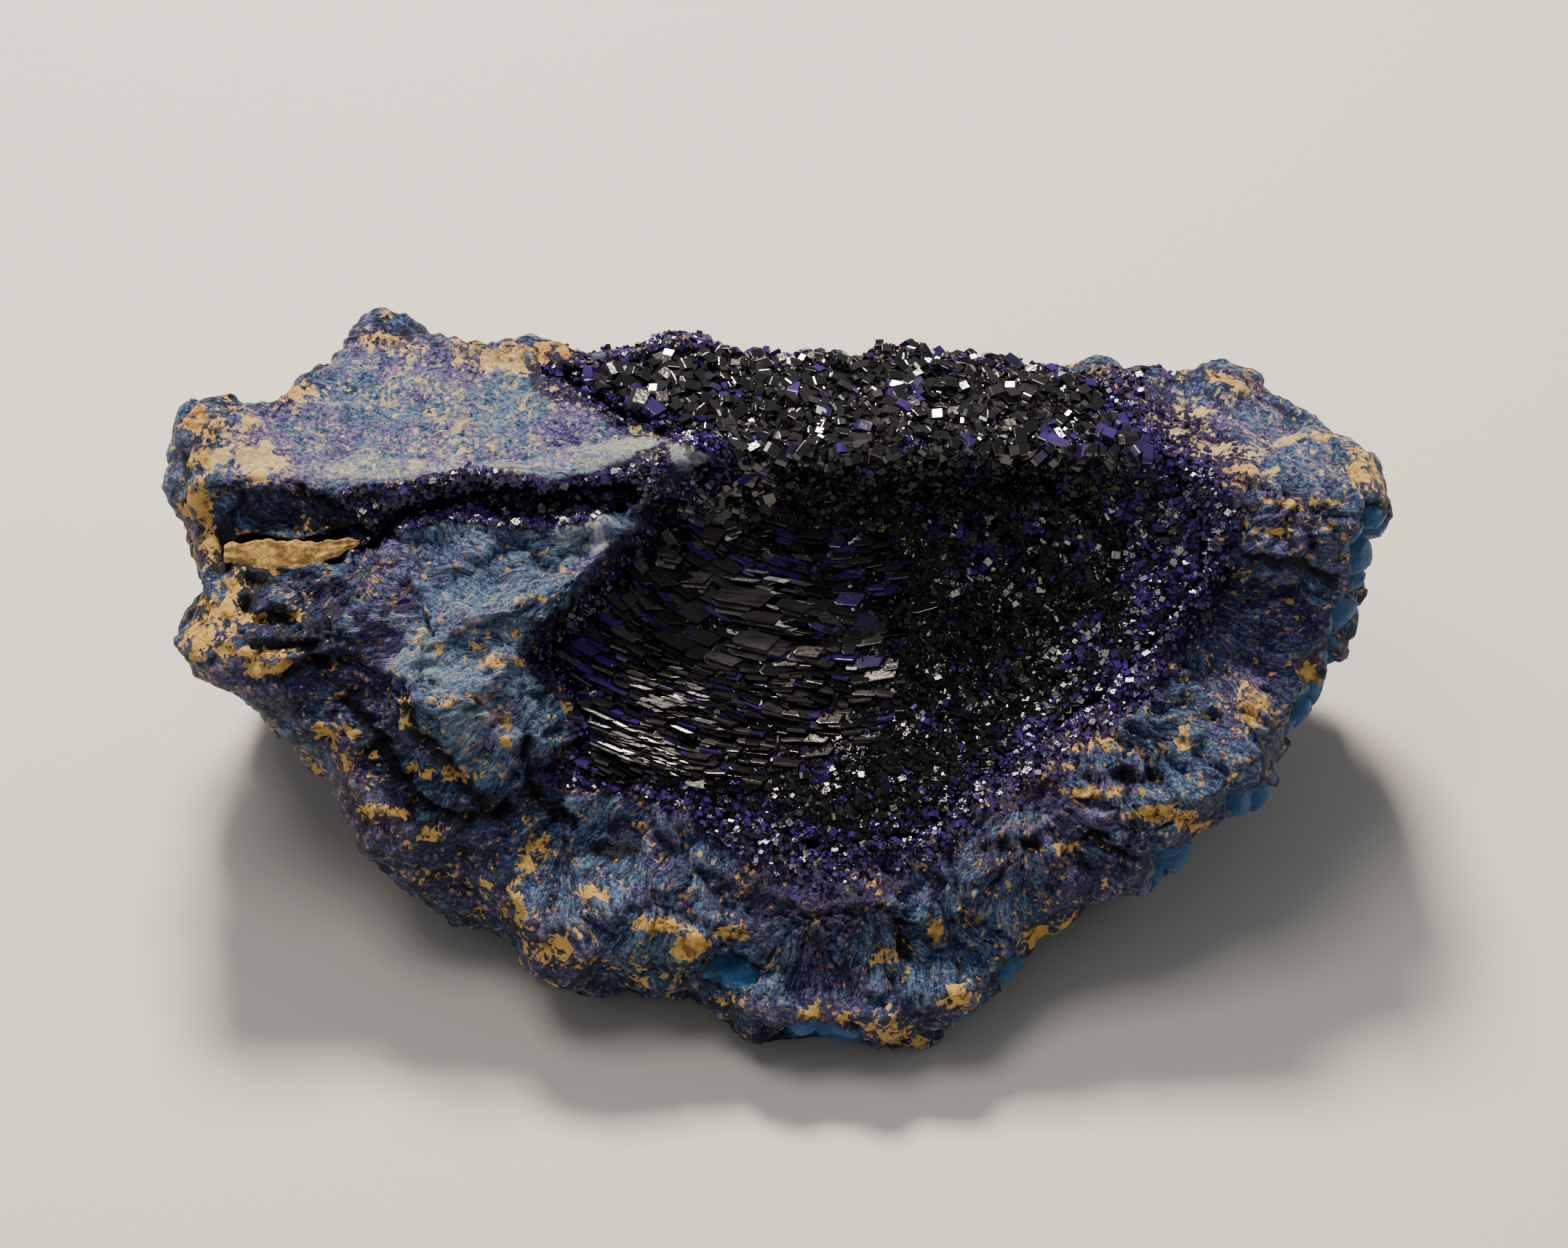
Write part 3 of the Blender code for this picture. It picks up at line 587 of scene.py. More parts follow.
@dataclass(frozen=True)
class AzuriteCrystal:
    """Azurite crystals, grown free: glassy faces that look black, and violet-blue where thin."""

    name: str = "azurite_crystal_grown"
    dark: str = "#06060a"
    smoke: str = "#292429"
    blue: str = "#331e66"
    gloss: float = 0.10
    shine: float = 0.5  # 0.5 for clean faces, less for ones that etching has dulled
    ior: float = 1.76
    etching: float = 0.35  # mm between the faint steps on a face
    step: float = 0.012  # mm, how high the steps are
    streak: float = 0.0  # mm across the dull streaks that run along smoky plates, 0 for none
    dull: float = 0.45  # roughness of the streaks

    def material(self) -> bpy.types.Material:
        """Makes the material.

        Returns:
            Glassy faces: smoky where a crystal's tint is below 0, blue where it is above.
        """
        made, node, shader = blank_finish(self.name)
        tree = made.node_tree
        tint = node("Attribute", give="Fac", attribute_name="tint")
        smoky = node("MapRange", (tint, 0.0, -1.0))
        violet = node("MapRange", (tint, 0.0, 1.0))
        colour = self.dark
        for share, over in ((smoky, self.smoke), (violet, self.blue)):
            colour = node("Mix", {0: share, 6: colour, 7: over}, 2, data_type="RGBA")
        spot = node("TexCoord", give="Object")
        steps = node("TexNoise", {0: spot, "Scale": 1 / (self.etching * MM), "Detail": 2.0})
        bumps = node("Bump", {"Strength": 1.0, "Distance": self.step * MM, "Height": steps})
        tree.links.new(colour, shader["Base Color"])
        tree.links.new(bumps, shader["Normal"])
        if self.streak:
            across = 1 / (self.streak * MM)
            along = node("Mapping", {0: spot, "Scale": (0.12 * across, across, across)})
            streaks = node("TexNoise", {0: along, "Scale": 1.0, "Detail": 3.0})
            streaks = node("MapRange", (streaks, 0.40, 0.55))
            streaks = node("Math", (streaks, smoky), operation="MULTIPLY")
            rough = node("MapRange", (streaks, 0.0, 1.0, self.gloss, self.dull))
            tree.links.new(rough, shader["Roughness"])
        else:
            shader["Roughness"].default_value = self.gloss
        shader["Specular IOR Level"].default_value = self.shine
        shader["IOR"].default_value = self.ior
        return made


@dataclass(frozen=True)
class SeamClay:
    """Dry ochre clay, packed in a seam: matt, crumbly, paler where it is dusty."""

    damp: str = "#846432"
    dry: str = "#b29150"
    crumb: float = 0.5  # mm, how wide its crumbs are
    height: float = 0.3  # mm, how high

    def material(self) -> bpy.types.Material:
        """Makes the material.

        Returns:
            The finish.
        """
        made, node, shader = blank_finish("ochre_clay_packed")
        tree = made.node_tree
        spot = node("TexCoord", give="Object")
        scale = 1 / (self.crumb * MM)
        crumbs = node("TexNoise", {0: spot, "Scale": scale, "Detail": 6.0, "Roughness": 0.65})
        share = node("MapRange", (crumbs, 0.38, 0.6), interpolation_type="SMOOTHSTEP")
        colour = node("Mix", {0: share, 6: self.damp, 7: self.dry}, 2, data_type="RGBA")
        bumps = node("Bump", {"Strength": 0.9, "Distance": self.height * MM, "Height": crumbs})
        tree.links.new(colour, shader["Base Color"])
        tree.links.new(bumps, shader["Normal"])
        shader["Roughness"].default_value = 0.95
        return made


@dataclass(frozen=True)
class Patch:
    """An oval place on the face: its middle, its half-lengths and how strong it is."""

    a: float
    b: float
    half_a: float
    half_b: float
    strength: float = 1.0

    def at(self, a: np.ndarray, b: np.ndarray) -> np.ndarray:
        """Returns the patch's strength at points of the face, fading from its middle."""
        reach = np.hypot((a - self.a) / self.half_a, (b - self.b) / self.half_b)
        return self.strength * smooth(reach, 1.35, 0.45)


def patches(*rows: tuple[float, ...]) -> tuple[Patch, ...]:
    """Makes a patch of each row: A, B, half-lengths and strength."""
    return tuple(Patch(*row) for row in rows)


def strength_at(spots: Sequence[Patch], a: np.ndarray, b: np.ndarray) -> np.ndarray:
    """Adds up the strengths of patches at points of the face."""
    return sum(spot.at(a, b) for spot in spots)


CLAY_PATCHES = patches(
    (-50.0, 57.4, 1.4, 1.2, 1.2), (-46.2, 43.6, 1.2, 2.2, 1.0), (-47.0, 39.6, 3.4, 2.8, 0.6),
    (-49.6, 50.0, 1.6, 2.2, 0.7), (-48.6, 46.8, 1.2, 2.0, 0.8), (-43.4, 36.6, 2.4, 1.6, 0.9),
    (-41.4, 60.0, 2.6, 1.8, 0.8), (-47.4, 55.8, 4.4, 3.2, 0.62), (-44.4, 53.0, 3.0, 1.4, 0.5),
    (-34.4, 27.6, 1.2, 2.6, 0.6), (-27.4, 27.0, 4.4, 0.8, 0.6), (-37.4, 30.6, 2.2, 0.9, 0.9),
    (-31.6, 32.8, 0.8, 2.6, 0.7), (-27.0, 33.4, 3.0, 0.8, 0.7), (-22.6, 30.6, 0.8, 2.4, 0.7),
    (-33.6, 23.6, 2.6, 0.9, 0.9), (-30.6, 21.8, 2.4, 0.8, 0.6), (-26.6, 17.4, 3.2, 0.8, 0.8),
    (-20.6, 20.0, 1.6, 2.6, 0.7), (-15.4, 16.6, 1.6, 1.5, 0.9), (-17.6, 13.6, 1.8, 1.0, 0.6),
    (-9.6, 14.2, 2.6, 0.8, 1.1), (-7.0, 12.4, 2.0, 1.2, 1.1), (-3.4, 13.4, 1.6, 0.8, 0.8),
    (13.8, 13.2, 1.0, 1.6, 0.9), (9.6, 11.4, 1.6, 0.8, 0.7), (4.4, 6.4, 2.4, 0.8, 0.6),
    (15.4, 8.0, 2.0, 1.2, 0.9), (22.6, 12.6, 2.2, 1.3, 0.8), (27.6, 25.6, 4.4, 0.7, 0.9),
    (32.6, 23.6, 3.4, 0.8, 1.0), (36.0, 22.6, 1.8, 1.0, 0.8), (40.6, 32.6, 1.5, 2.4, 1.0),
    (39.4, 26.8, 1.6, 1.4, 0.5), (34.0, 29.6, 2.4, 0.8, 0.7), (28.0, 29.6, 3.0, 0.7, 0.6),
    (48.4, 39.6, 1.4, 2.0, 1.1), (46.0, 34.6, 1.0, 1.8, 0.8), (40.4, 60.9, 2.2, 1.3, 0.9),
    (50.2, 52.6, 1.6, 2.2, 0.9), (38.6, 54.8, 3.6, 0.7, 0.9), (44.6, 50.2, 3.0, 0.6, 0.8),
    (38.0, 46.6, 2.4, 0.7, 0.7), (28.0, 61.2, 2.6, 0.9, 0.7), (-33.0, 65.4, 8.0, 2.2, 1.0),
    (-22.4, 63.0, 6.4, 1.4, 0.95), (-27.0, 38.6, 5.0, 1.6, 0.45), (-20.6, 41.8, 2.4, 0.6, 0.6),
    (-24.0, 36.6, 3.4, 0.6, 0.7), (-17.6, 34.0, 0.7, 2.4, 0.6), (-44.0, 54.4, 2.6, 1.0, 0.7),
    (36.6, 58.2, 3.2, 0.5, 0.9), (41.0, 53.0, 3.4, 0.5, 0.9), (45.6, 55.6, 3.0, 0.6, 0.9),
    (33.4, 56.4, 2.6, 0.4, 0.8), (47.6, 58.0, 2.0, 0.8, 0.8), (42.6, 47.6, 3.0, 0.5, 0.8),
    (24.0, 20.6, 3.0, 0.6, 0.7), (19.0, 17.0, 1.6, 0.8, 0.5), (-42.0, 40.6, 3.4, 0.6, 0.6),
)
PALE_PATCHES = patches(
    (-30.0, 57.0, 19.0, 7.0, 0.6), (-10.0, 54.2, 9.0, 1.8, 1.6), (-13.0, 46.6, 5.0, 4.6, 1.1),
    (-20.0, 46.0, 9.0, 3.0, 0.35), (-34.0, 38.0, 6.0, 3.0, 0.3), (42.0, 57.4, 8.0, 2.4, 0.4),
    (-24.0, 37.0, 9.0, 6.0, 1.0), (-30.0, 53.2, 16.0, 1.1, 1.0), (-26.0, 29.4, 6.0, 4.0, 0.8),
    (-17.0, 24.0, 4.0, 2.4, 0.3), (24.0, 24.0, 6.0, 3.0, 0.4), (48.0, 55.0, 4.0, 3.0, 0.6),
    (-38.6, 64.0, 5.0, 2.0, 0.9), (-14.0, 64.4, 6.0, 1.4, 0.6), (-47.6, 50.4, 3.0, 2.6, 0.5),
)
VIOLET_PATCHES = patches(
    (-17.0, 60.4, 4.0, 1.6, 1.0), (-11.6, 57.6, 3.0, 1.0, 0.9), (-24.0, 59.0, 8.0, 3.0, 0.2),
    (35.0, 50.6, 6.0, 5.0, 0.8), (-46.0, 56.0, 3.6, 3.0, 0.35), (-14.6, 61.8, 8.0, 1.4, 0.8),
    (35.6, 54.6, 7.0, 4.0, 0.7), (-8.6, 46.0, 1.6, 4.6, 0.9), (-24.0, 48.0, 10.0, 0.9, 0.7),
    (29.0, 58.6, 7.0, 3.0, 0.7), (3.0, 17.0, 9.0, 3.4, 0.75), (-18.0, 27.6, 4.0, 2.2, 0.6),
    (20.0, 26.6, 6.0, 3.0, 0.6), (-26.0, 23.4, 4.0, 3.0, 0.2), (32.0, 40.0, 4.0, 4.0, 0.5),
    (-13.4, 43.2, 1.4, 3.4, 1.0), (-17.2, 39.4, 2.6, 1.4, 1.0),
)
AZURE_PATCHES = patches(
    (-3.6, 9.9, 2.6, 1.3, 1.2), (51.6, 45.2, 2.6, 4.4, 1.2), (49.6, 38.0, 2.6, 4.4, 1.2),
    (46.8, 31.2, 2.8, 4.0, 1.2), (42.0, 23.6, 3.4, 2.4, 1.2), (35.6, 18.2, 3.4, 3.0, 1.1),
    (29.6, 14.0, 3.4, 2.4, 1.0), (21.6, 9.6, 3.0, 2.0, 0.8), (3.0, 4.8, 5.0, 1.2, 0.8),
    (36.0, 41.6, 4.0, 2.6, 0.45), (-33.6, 29.6, 1.4, 3.0, 0.4),
)
PITS = patches(
    (-47.6, 46.6, 1.1, 2.2, 1.6), (-45.0, 42.6, 0.9, 1.9, 1.5), (-41.6, 38.0, 3.0, 0.6, 1.3),
    (-42.6, 40.4, 2.2, 0.5, 1.0), (-38.6, 36.4, 2.6, 0.5, 0.9), (-3.6, 10.2, 2.4, 1.2, 1.0),
    (-5.0, 17.6, 1.4, 1.0, 0.5), (37.0, 43.6, 4.0, 1.4, 0.8), (-14.0, 20.6, 2.4, 0.8, 0.7),
    (20.0, 21.0, 3.0, 0.8, 0.8), (31.0, 27.0, 3.0, 0.7, 0.7), (-38.0, 47.8, 2.6, 0.9, 0.8),
)
RAISED_PATCHES = patches(  # by that many millimetres
    (-8.6, 54.5, 7.6, 1.3, 1.3), (-24.0, 48.2, 13.0, 1.1, 1.2), (-21.0, 52.4, 9.0, 0.8, 0.6),
)
# Patches painted darker; on the slab's front under the plateau, by the left end of the crevice and in
# the right-hand hollow this is painted shade.
DARK_AND_SHADE_PATCHES = patches(
    (-38.0, 49.6, 9.0, 1.8, 0.45), (-40.0, 39.0, 5.0, 4.0, 0.35), (-31.0, 30.0, 4.0, 5.0, 0.25),
    (-24.0, 24.6, 7.0, 2.6, 0.2), (-44.0, 45.6, 1.6, 3.0, 0.7), (36.0, 42.4, 6.0, 3.0, 0.25),
    (3.0, 17.0, 8.0, 3.0, 0.3), (-8.0, 22.0, 8.0, 1.6, 0.3),
)
CRACKS: tuple[Outline, ...] = (
    ((-36.4, 33.4), (-33.4, 29.0), (-31.2, 25.4), (-28.6, 23.4), (-25.6, 22.9), (-22.6, 23.6)),
    ((32.6, 48.6), (37.0, 46.4), (42.0, 45.4), (48.0, 43.2)),
    ((-31.6, 34.4), (-30.6, 30.0), (-27.4, 27.6), (-24.6, 24.2)),
    ((-21.0, 29.8), (-20.6, 25.8), (-17.0, 22.4)),
    ((10.8, 14.0), (11.2, 11.6)),
    ((26.6, 21.6), (31.6, 19.4), (36.0, 20.0)),
    ((-47.0, 36.0), (-41.0, 31.6), (-37.0, 27.8)),
)


@dataclass
class NoduleMatrix:
    """The body of the specimen: fibrous azurite with ochre clay and a knobbly skin."""

    voxel: float = 0.42  # mm, the size of its faces on the broken face
    most_triangles: int = 190_000
    sheaf: float = 10.5  # mm, the usual width of one sheaf of fibres
    sheaf_root: float = 9.0  # mm, from a sheaf's middle back to where its fibres meet
    bundle: float = 2.3  # mm, the width of a broken bundle of fibres
    fibre: float = 0.95  # mm, the width of a splinter of it
    break_step: float = 5.5  # mm, between the steps where fibres broke off
    knob: float = 3.8  # mm, between the knobs of the skin
    knob_height: float = 0.95  # mm
    lobe: float = 3.6  # mm between the azure lobes at the right edge
    lobe_height: float = 1.5  # mm
    growth_centre: tuple[float, float] = (8.0, 50.0)  # A and B that the fibres fan out from
    lump_centre: tuple[float, float] = (20.0, 62.0)  # the same for the right lump
    keep_weights: tuple[float, ...] = (0.1, 0.7, 0.98)  # of the far skin, the near skin, the face
    seen_depth: float = 12.0  # mm behind the face, where the skin still counts as near
    seen_height: float = 30.0  # mm over the ground, likewise
    rounding: int = 4  # times that the blank is smoothed
    base: float = 0.4  # mm over the ground, where smoothing starts
    calm_foot: tuple[float, float] = (0.2, 1.6)  # mm over the ground, where relief starts, is whole
    let_in: float = 0.25  # mm that the whole surface is let in by, for the relief to rise from

    def blank(self) -> bpy.types.Object:
        """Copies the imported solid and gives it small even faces, wider ones on its skin.

        Returns:
            The new object, smoothed but for its flat base.
        """
        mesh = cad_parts["azurite_matrix"].data.copy()
        shape = bmesh.new()
        shape.from_mesh(mesh)
        bmesh.ops.remove_doubles(shape, verts=shape.verts, dist=1e-6)
        shape.to_mesh(mesh)
        shape.free()
        piece = new_piece("massive_azurite", mesh)
        even = piece.modifiers.new("even_faces", "REMESH")
        even.mode = "VOXEL"
        even.voxel_size = self.voxel * MM
        mesh = finished_mesh(piece)
        shape = bmesh.new()
        shape.from_mesh(mesh)
        above = [vert for vert in shape.verts if vert.co.z > self.base * MM]
        for _ in range(self.rounding):
            bmesh.ops.smooth_vert(
                shape, verts=above, factor=0.5, use_axis_x=True, use_axis_y=True, use_axis_z=True
            )
        shape.to_mesh(mesh)
        shape.free()
        self.thin_skin(piece)
        return piece

    def thin_skin(self, piece: bpy.types.Object) -> None:
        """Takes faces out of the skin until the piece is light enough.

        Args:
            piece: The evenly faced blank.
        """
        face = FACE.to_face(points_of(piece.data))
        share = self.face_share(face)
        keep = piece.vertex_groups.new(name="keep")
        high = points_of(piece.data)[:, 2] > self.seen_height * MM
        seen = (face[:, 2] > -self.seen_depth) | high
        kind = np.where(share > 0.05, 2, np.where(seen, 1, 0))
        for number, weight in enumerate(self.keep_weights):
            keep.add([int(i) for i in np.flatnonzero(kind == number)], weight, "REPLACE")
        piece.data.calc_loop_triangles()
        thin = piece.modifiers.new("thin_skin", "DECIMATE")
        thin.ratio = min(1.0, self.most_triangles / len(piece.data.loop_triangles))
        thin.vertex_group = keep.name
        thin.invert_vertex_group = True
        finished_mesh(piece)
        piece.vertex_groups.clear()

    def sheaf_at(self, a: float, b: float) -> tuple[float, float, float, float]:
        """Finds the sheaf of fibres at a point of the face.

        Args:
            a: Where along the face, in millimetres.
            b: Where up the face, in millimetres.

        Returns:
            The distance along the fibres and the one across them, in millimetres, the sheaf's
            own number from 0 to 1, and how near the seam with the next sheaf is.
        """
        bend = noise.noise_vector(Vector((a, b, 3.0)) / 7.0) * 1.8
        bend += noise.noise_vector(Vector((a, b, 8.0)) / 1.8) * 0.5
        spot = Vector((a + bend.x, b + bend.y, 0.0)) / self.sheaf
        gaps, cells = noise.voronoi(spot)
        own = 0.5 + 0.5 * noise.cell(cells[0] * 37.0)
        middle = cells[0] * self.sheaf
        centre = self.lump_centre if middle.x > 27 and middle.y > 42 else self.growth_centre
        way = math.atan2(middle.y - centre[1], middle.x - centre[0]) + (own - 0.5)
        root_a = middle.x - self.sheaf_root * math.cos(way)
        root_b = middle.y - self.sheaf_root * math.sin(way)
        along = math.hypot(a - root_a, b - root_b)
        turn = math.atan2(b - root_b, a - root_a) - way
        turn = (turn + math.pi) % (2 * math.pi) - math.pi
        turn += 0.10 * math.sin(along / 4.5 + own * 6) + 0.10 * noise.noise(Vector((a, b, 1)) / 2.6)
        return along, turn * self.sheaf_root, own, gaps[1] - gaps[0]

    def splinter(self, along: float, across: float, own: float) -> tuple[float, float]:
        """Tells one broken bundle of fibres from the next.

        Args:
            along: How far along the fibres, in bundle lengths.
            across: How far across them, in bundle widths.
            own: The sheaf's own number.

        Returns:
            The bundle's own height from -1 to 1, and 0 in the crease round it, 1 away from that.
        """
        gaps, cells = noise.voronoi(Vector((along, across, own * 70)))
        return noise.cell(cells[0] * 53.0), min(1.0, (gaps[1] - gaps[0]) / 0.3)

    def face_height(self, along: float, across: float, own: float, seam: float) -> float:
        """Gives the height of the bundles, and of their sheaf, in millimetres."""
        wide, wide_crease = self.splinter(along / 6.5, across / self.bundle, own)
        thin, thin_crease = self.splinter(along / 2.6, across / self.fibre, own + 3)
        fine = noise.noise(Vector((along / 1.6, across / (0.45 * self.fibre), own * 50)))
        ridges = 0.32 * wide + 0.30 * wide_crease + 0.24 * thin + 0.24 * thin_crease + 0.22 * fine
        ragged = noise.noise(Vector((across / 1.6, along / 9.0, own * 30)))
        stretch = along / self.break_step + 0.9 * ragged
        broken = 0.4 * ((stretch + own * 7) % 1.0 - 0.5)
        return ridges + broken + 0.6 * (own - 0.5) - 0.3 * float(smooth(seam, 0.08, 0.0)) - 0.3

    def skin_height(self, spot: Vector, azure: float) -> float:
        """Gives the height of the skin's knobs, or of its smooth lobes, in millimetres.

        Args:
            spot: Where, in the specimen's millimetres.
            azure: 1 among the azure lobes, 0 among the knobs.

        Returns:
            The height.
        """
        bend = noise.noise_vector(spot / 6.0) * 1.1
        if azure > 0.35:
            gaps = noise.voronoi(spot / self.lobe)[0]
            return self.lobe_height * (min(1.0, (gaps[1] - gaps[0]) / 0.35) - 0.35 - 0.6 * gaps[0])
        height = 0.0
        for share in (1.0, 0.42):
            near = noise.voronoi((spot + bend) / (share * self.knob))[0][0]
            height += share * self.knob_height * (0.8 - 1.7 * near * near)
        near = noise.voronoi((spot + 0.5 * bend) / 1.1)[0][0]
        return height + 0.24 * (0.5 - near) + 0.25 * noise.noise(spot / 0.9)

    def face_share(self, face: np.ndarray) -> np.ndarray:
        """Tells the broken face from the skin.

        Args:
            face: The points as A, B and C.

        Returns:
            1 on the face, 0 on the skin, and between the two at its edge.
        """
        a, b, c = face.T
        front = smooth(c - np.minimum(0, height_of(BROW, a) - b), -9.0, -6.0)
        return smooth(depth_into(a, b, FACE_EDGE), -0.8, 1.4) * front

    def flaws(self, a: np.ndarray, b: np.ndarray) -> tuple[np.ndarray, np.ndarray]:
        """Finds the cracks and the pits of the face.

        Args:
            a: The points' A, in millimetres.
            b: The points' B, in millimetres.

        Returns:
            How deep each point lies in a crack, from 0 to 1, and in a pit, from 0 to 2.
        """
        stray = 0.7 * np.array([noise.noise_vector(Vector((pa, pb, 5.0)) / 1.3) for pa, pb in zip(a, b)])
        gaps = (distance_to(a + stray[:, 0], b + stray[:, 1], line) for line in CRACKS)
        crack = np.clip(sum(smooth(gap, 0.75, 0.05) for gap in gaps), 0, 1)
        pits = strength_at(PITS, a, b) * np.clip(0.75 + 2.2 * stray[:, 1], 0, 1.5)
        return crack, np.clip(pits, 0, 2)

    def broken(
        self, spot: Vector, a: float, b: float, above: float, top: float, share: float
    ) -> tuple[float, tuple[float, float, float]]:
        """Gives the relief and the grain of a point of the broken face.

        Args:
            spot: Where, in the specimen's millimetres.
            a: Where along the face, in millimetres.
            b: Where up the face, in millimetres.
            above: How far above the shelf's front edge, in millimetres.
            top: 1 on the plateau over that edge, 0 below it.
            share: 1 on the face, less at its edge.

        Returns:
            The height in millimetres, and the place along, across and among the fibres.
        """
        along, across, own, seam = self.sheaf_at(a, b)
        grain = (along, across, own * 40)
        if top > 0.5 and a < 20:
            flow = noise.noise_vector(Vector((a, b, 6.0)) / 5.0)
            grain = (a + flow.x, 1.3 * above + 1.6 * flow.y, 60)
        calm = 1 - 0.62 * top
        rough = 0.22 * noise.noise(spot / 1.6) + 0.22 * noise.noise(spot / 0.75)
        lumps = 0.45 * noise.noise(spot / 2.6) - 0.3 * abs(noise.noise(spot / 1.2))
        height = share * calm * self.face_height(along, across, own, seam)
        return height + share * (rough + top * lumps), grain

    def carve(self, piece: bpy.types.Object) -> None:
        """Raises the fibres and the knobs, and stores where each thing is for the finish.

        Args:
            piece: The blank.
        """
        mesh = piece.data
        points, normals = points_of(mesh), points_of(mesh, "normal")
        face = FACE.to_face(points)
        a, b, c = face.T
        share = self.face_share(face)
        above = b - height_of(BROW, a)
        top = smooth(above, -0.2, 1.2) * share
        crack, pits = self.flaws(a, b)
        azure = strength_at(AZURE_PATCHES, a, b) * smooth(c, -16.0, -9.0)
        lift = np.zeros(len(points))
        grain = points / MM * 0.7
        for i, point in enumerate(points):
            spot = Vector(point) / MM
            if share[i] > 0:
                lift[i], grain[i] = self.broken(spot, a[i], b[i], above[i], top[i], share[i])
            if share[i] < 1:
                lift[i] += (1 - share[i]) * self.skin_height(spot, azure[i])
        lift -= (0.9 * crack + 0.8 * pits) * share * (1 - top)
        lift += strength_at(RAISED_PATCHES, a, b) * share
        start, whole = (height * MM for height in self.calm_foot)
        lift *= smooth(points[:, 2], start, whole)
        lift -= self.let_in
        lift = np.where(points[:, 2] < start, 0, lift)
        put_points(mesh, points + normals * lift[:, None] * MM)
        # Stone painted darker in the dark patches, partly painted shade.
        dark = strength_at(DARK_AND_SHADE_PATCHES, a, b) * (1 - top)
        put_attribute(mesh, "grain", grain)
        put_attribute(mesh, "skin", 1 - share)
        put_attribute(mesh, "rise", lift)
        put_attribute(mesh, "top", top)
        # Tone is darkened in cracks and pits as painted shade, and in the dark patches.
        put_attribute(mesh, "crack", np.clip(crack + pits + dark, 0, 1) * share)
        self.paint(mesh, face, share)

    def paint(self, mesh: bpy.types.Mesh, face: np.ndarray, share: np.ndarray) -> None:
        """Stores how much clay, pale or azure stone and violet bloom each point has.

        Args:
            mesh: The mesh that gets the attributes.
            face: Its points as A, B and C.
            share: 1 on the broken face, 0 on the skin.
        """
        a, b, c = face.T
        near = np.clip(share + smooth(distance_to(a, b, (*FACE_EDGE, FACE_EDGE[0])), 5.0, 1.0), 0, 1)
        near = near * smooth(c, -16.0, -9.0)
        kinds = (("clay", CLAY_PATCHES), ("pale", PALE_PATCHES), ("violet", VIOLET_PATCHES),
                 ("azure", AZURE_PATCHES))
        for name, spots in kinds:
            total = strength_at(spots, a, b)
            if name == "violet":
                rim = -depth_into(a, b, POCKET)
                total = total + 1.1 * smooth(rim, rim_width(a, b) + 1.4, 0.0) * smooth(rim, -4.0, -1.0)
                seam = -depth_into(a, b, SEAM_SPREAD)
                total = total + 1.1 * smooth(seam, 0.9, 0.0) * smooth(a, -38.5, -36.0)
            if name == "azure":
                total = total * np.clip(1.6 - share, 0.6, 1.4)
            put_attribute(mesh, name, np.clip(total, 0, 1.5) * near)

    def build(self) -> bpy.types.Object:
        """Makes the piece and puts it in place of its solid.

        Returns:
            The finished piece.
        """
        piece = self.blank()
        self.carve(piece)
        piece.data.shade_smooth()
        piece.data.materials.clear()
        piece.data.materials.append(FibrousAzurite().material())
        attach(piece, "root")
        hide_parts("azurite_matrix")
        report(piece)
        return piece


class Habit(Enum):
    """The shapes that the crystals grow in."""

    BLOCK = "block"
    WEDGE = "wedge"
    PLATE = "plate"
    GRAIN = "grain"


@dataclass(frozen=True)
class Growth:
    """One crystal: its shape, its place, and its tint: -1 smoky, 0 black, 1 blue."""

    habit: Habit
    place: Matrix
    tint: float


def bevel(shape: bmesh.types.BMesh, edges: list[bmesh.types.BMEdge], width: float) -> None:
    """Cuts each of the edges off with one flat face.

    Args:
        shape: The shape that they belong to.
        edges: The edges.
        width: How far the cut reaches into the faces beside an edge.
    """
    bmesh.ops.bevel(
        shape, geom=edges, offset=width, segments=1, profile=0.5, affect="EDGES", material=-1
    )


def lean_over(shape: bmesh.types.BMesh, axis: int, amount: float) -> None:
    """Slants a shape towards X as it goes along another axis, as azurite's crystals do."""
    slant = Matrix.Identity(4)
    slant[0][axis] = amount
    bmesh.ops.transform(shape, matrix=slant, verts=shape.verts)


def habit_mesh(habit: Habit) -> bpy.types.Mesh:
    """Makes the crystal shape of a habit, one unit long each way.

    Args:
        habit: Which shape.

    Returns:
        A closed mesh round the origin.
    """
    shape = bmesh.new()
    bmesh.ops.create_cube(shape, size=1)
    if habit in (Habit.BLOCK, Habit.WEDGE):
        lean_over(shape, 2, 0.16)
        ends = [e for e in shape.edges if all(v.co.z > 0 for v in e.verts)]
        wide = [e for e in ends if abs(e.verts[0].co.y - e.verts[1].co.y) > 0.5]
        bevel(shape, wide[:1], 0.24)
    if habit is Habit.BLOCK:
        bevel(shape, shape.edges[:], 0.045)
    if habit is Habit.PLATE:
        lean_over(shape, 1, 0.28)
        upright = [e for e in shape.edges if abs(e.verts[0].co.z - e.verts[1].co.z) > 0.5]
        bevel(shape, upright[:2], 0.2)
        bevel(shape, [e for e in shape.edges if e.verts[0].co.z * e.verts[1].co.z > 0], 0.05)
    bmesh.ops.recalc_face_normals(shape, faces=shape.faces)
    return mesh_from(shape, habit.value)


def merged(meshes: list[bpy.types.Mesh], group: int = 12) -> bpy.types.Mesh:
    """Joins meshes into one, a few at a time.

    Args:
        meshes: The meshes, which are used up.
        group: How many are joined in one go.

    Returns:
        One mesh that holds them all.
    """
    while len(meshes) > 1:
        wider = []
        for start in range(0, len(meshes), group):
            shape = bmesh.new()
            for mesh in meshes[start : start + group]:
                shape.from_mesh(mesh)
                bpy.data.meshes.remove(mesh)
            wider.append(mesh_from(shape, "joined"))
        meshes = wider
    return meshes[0]


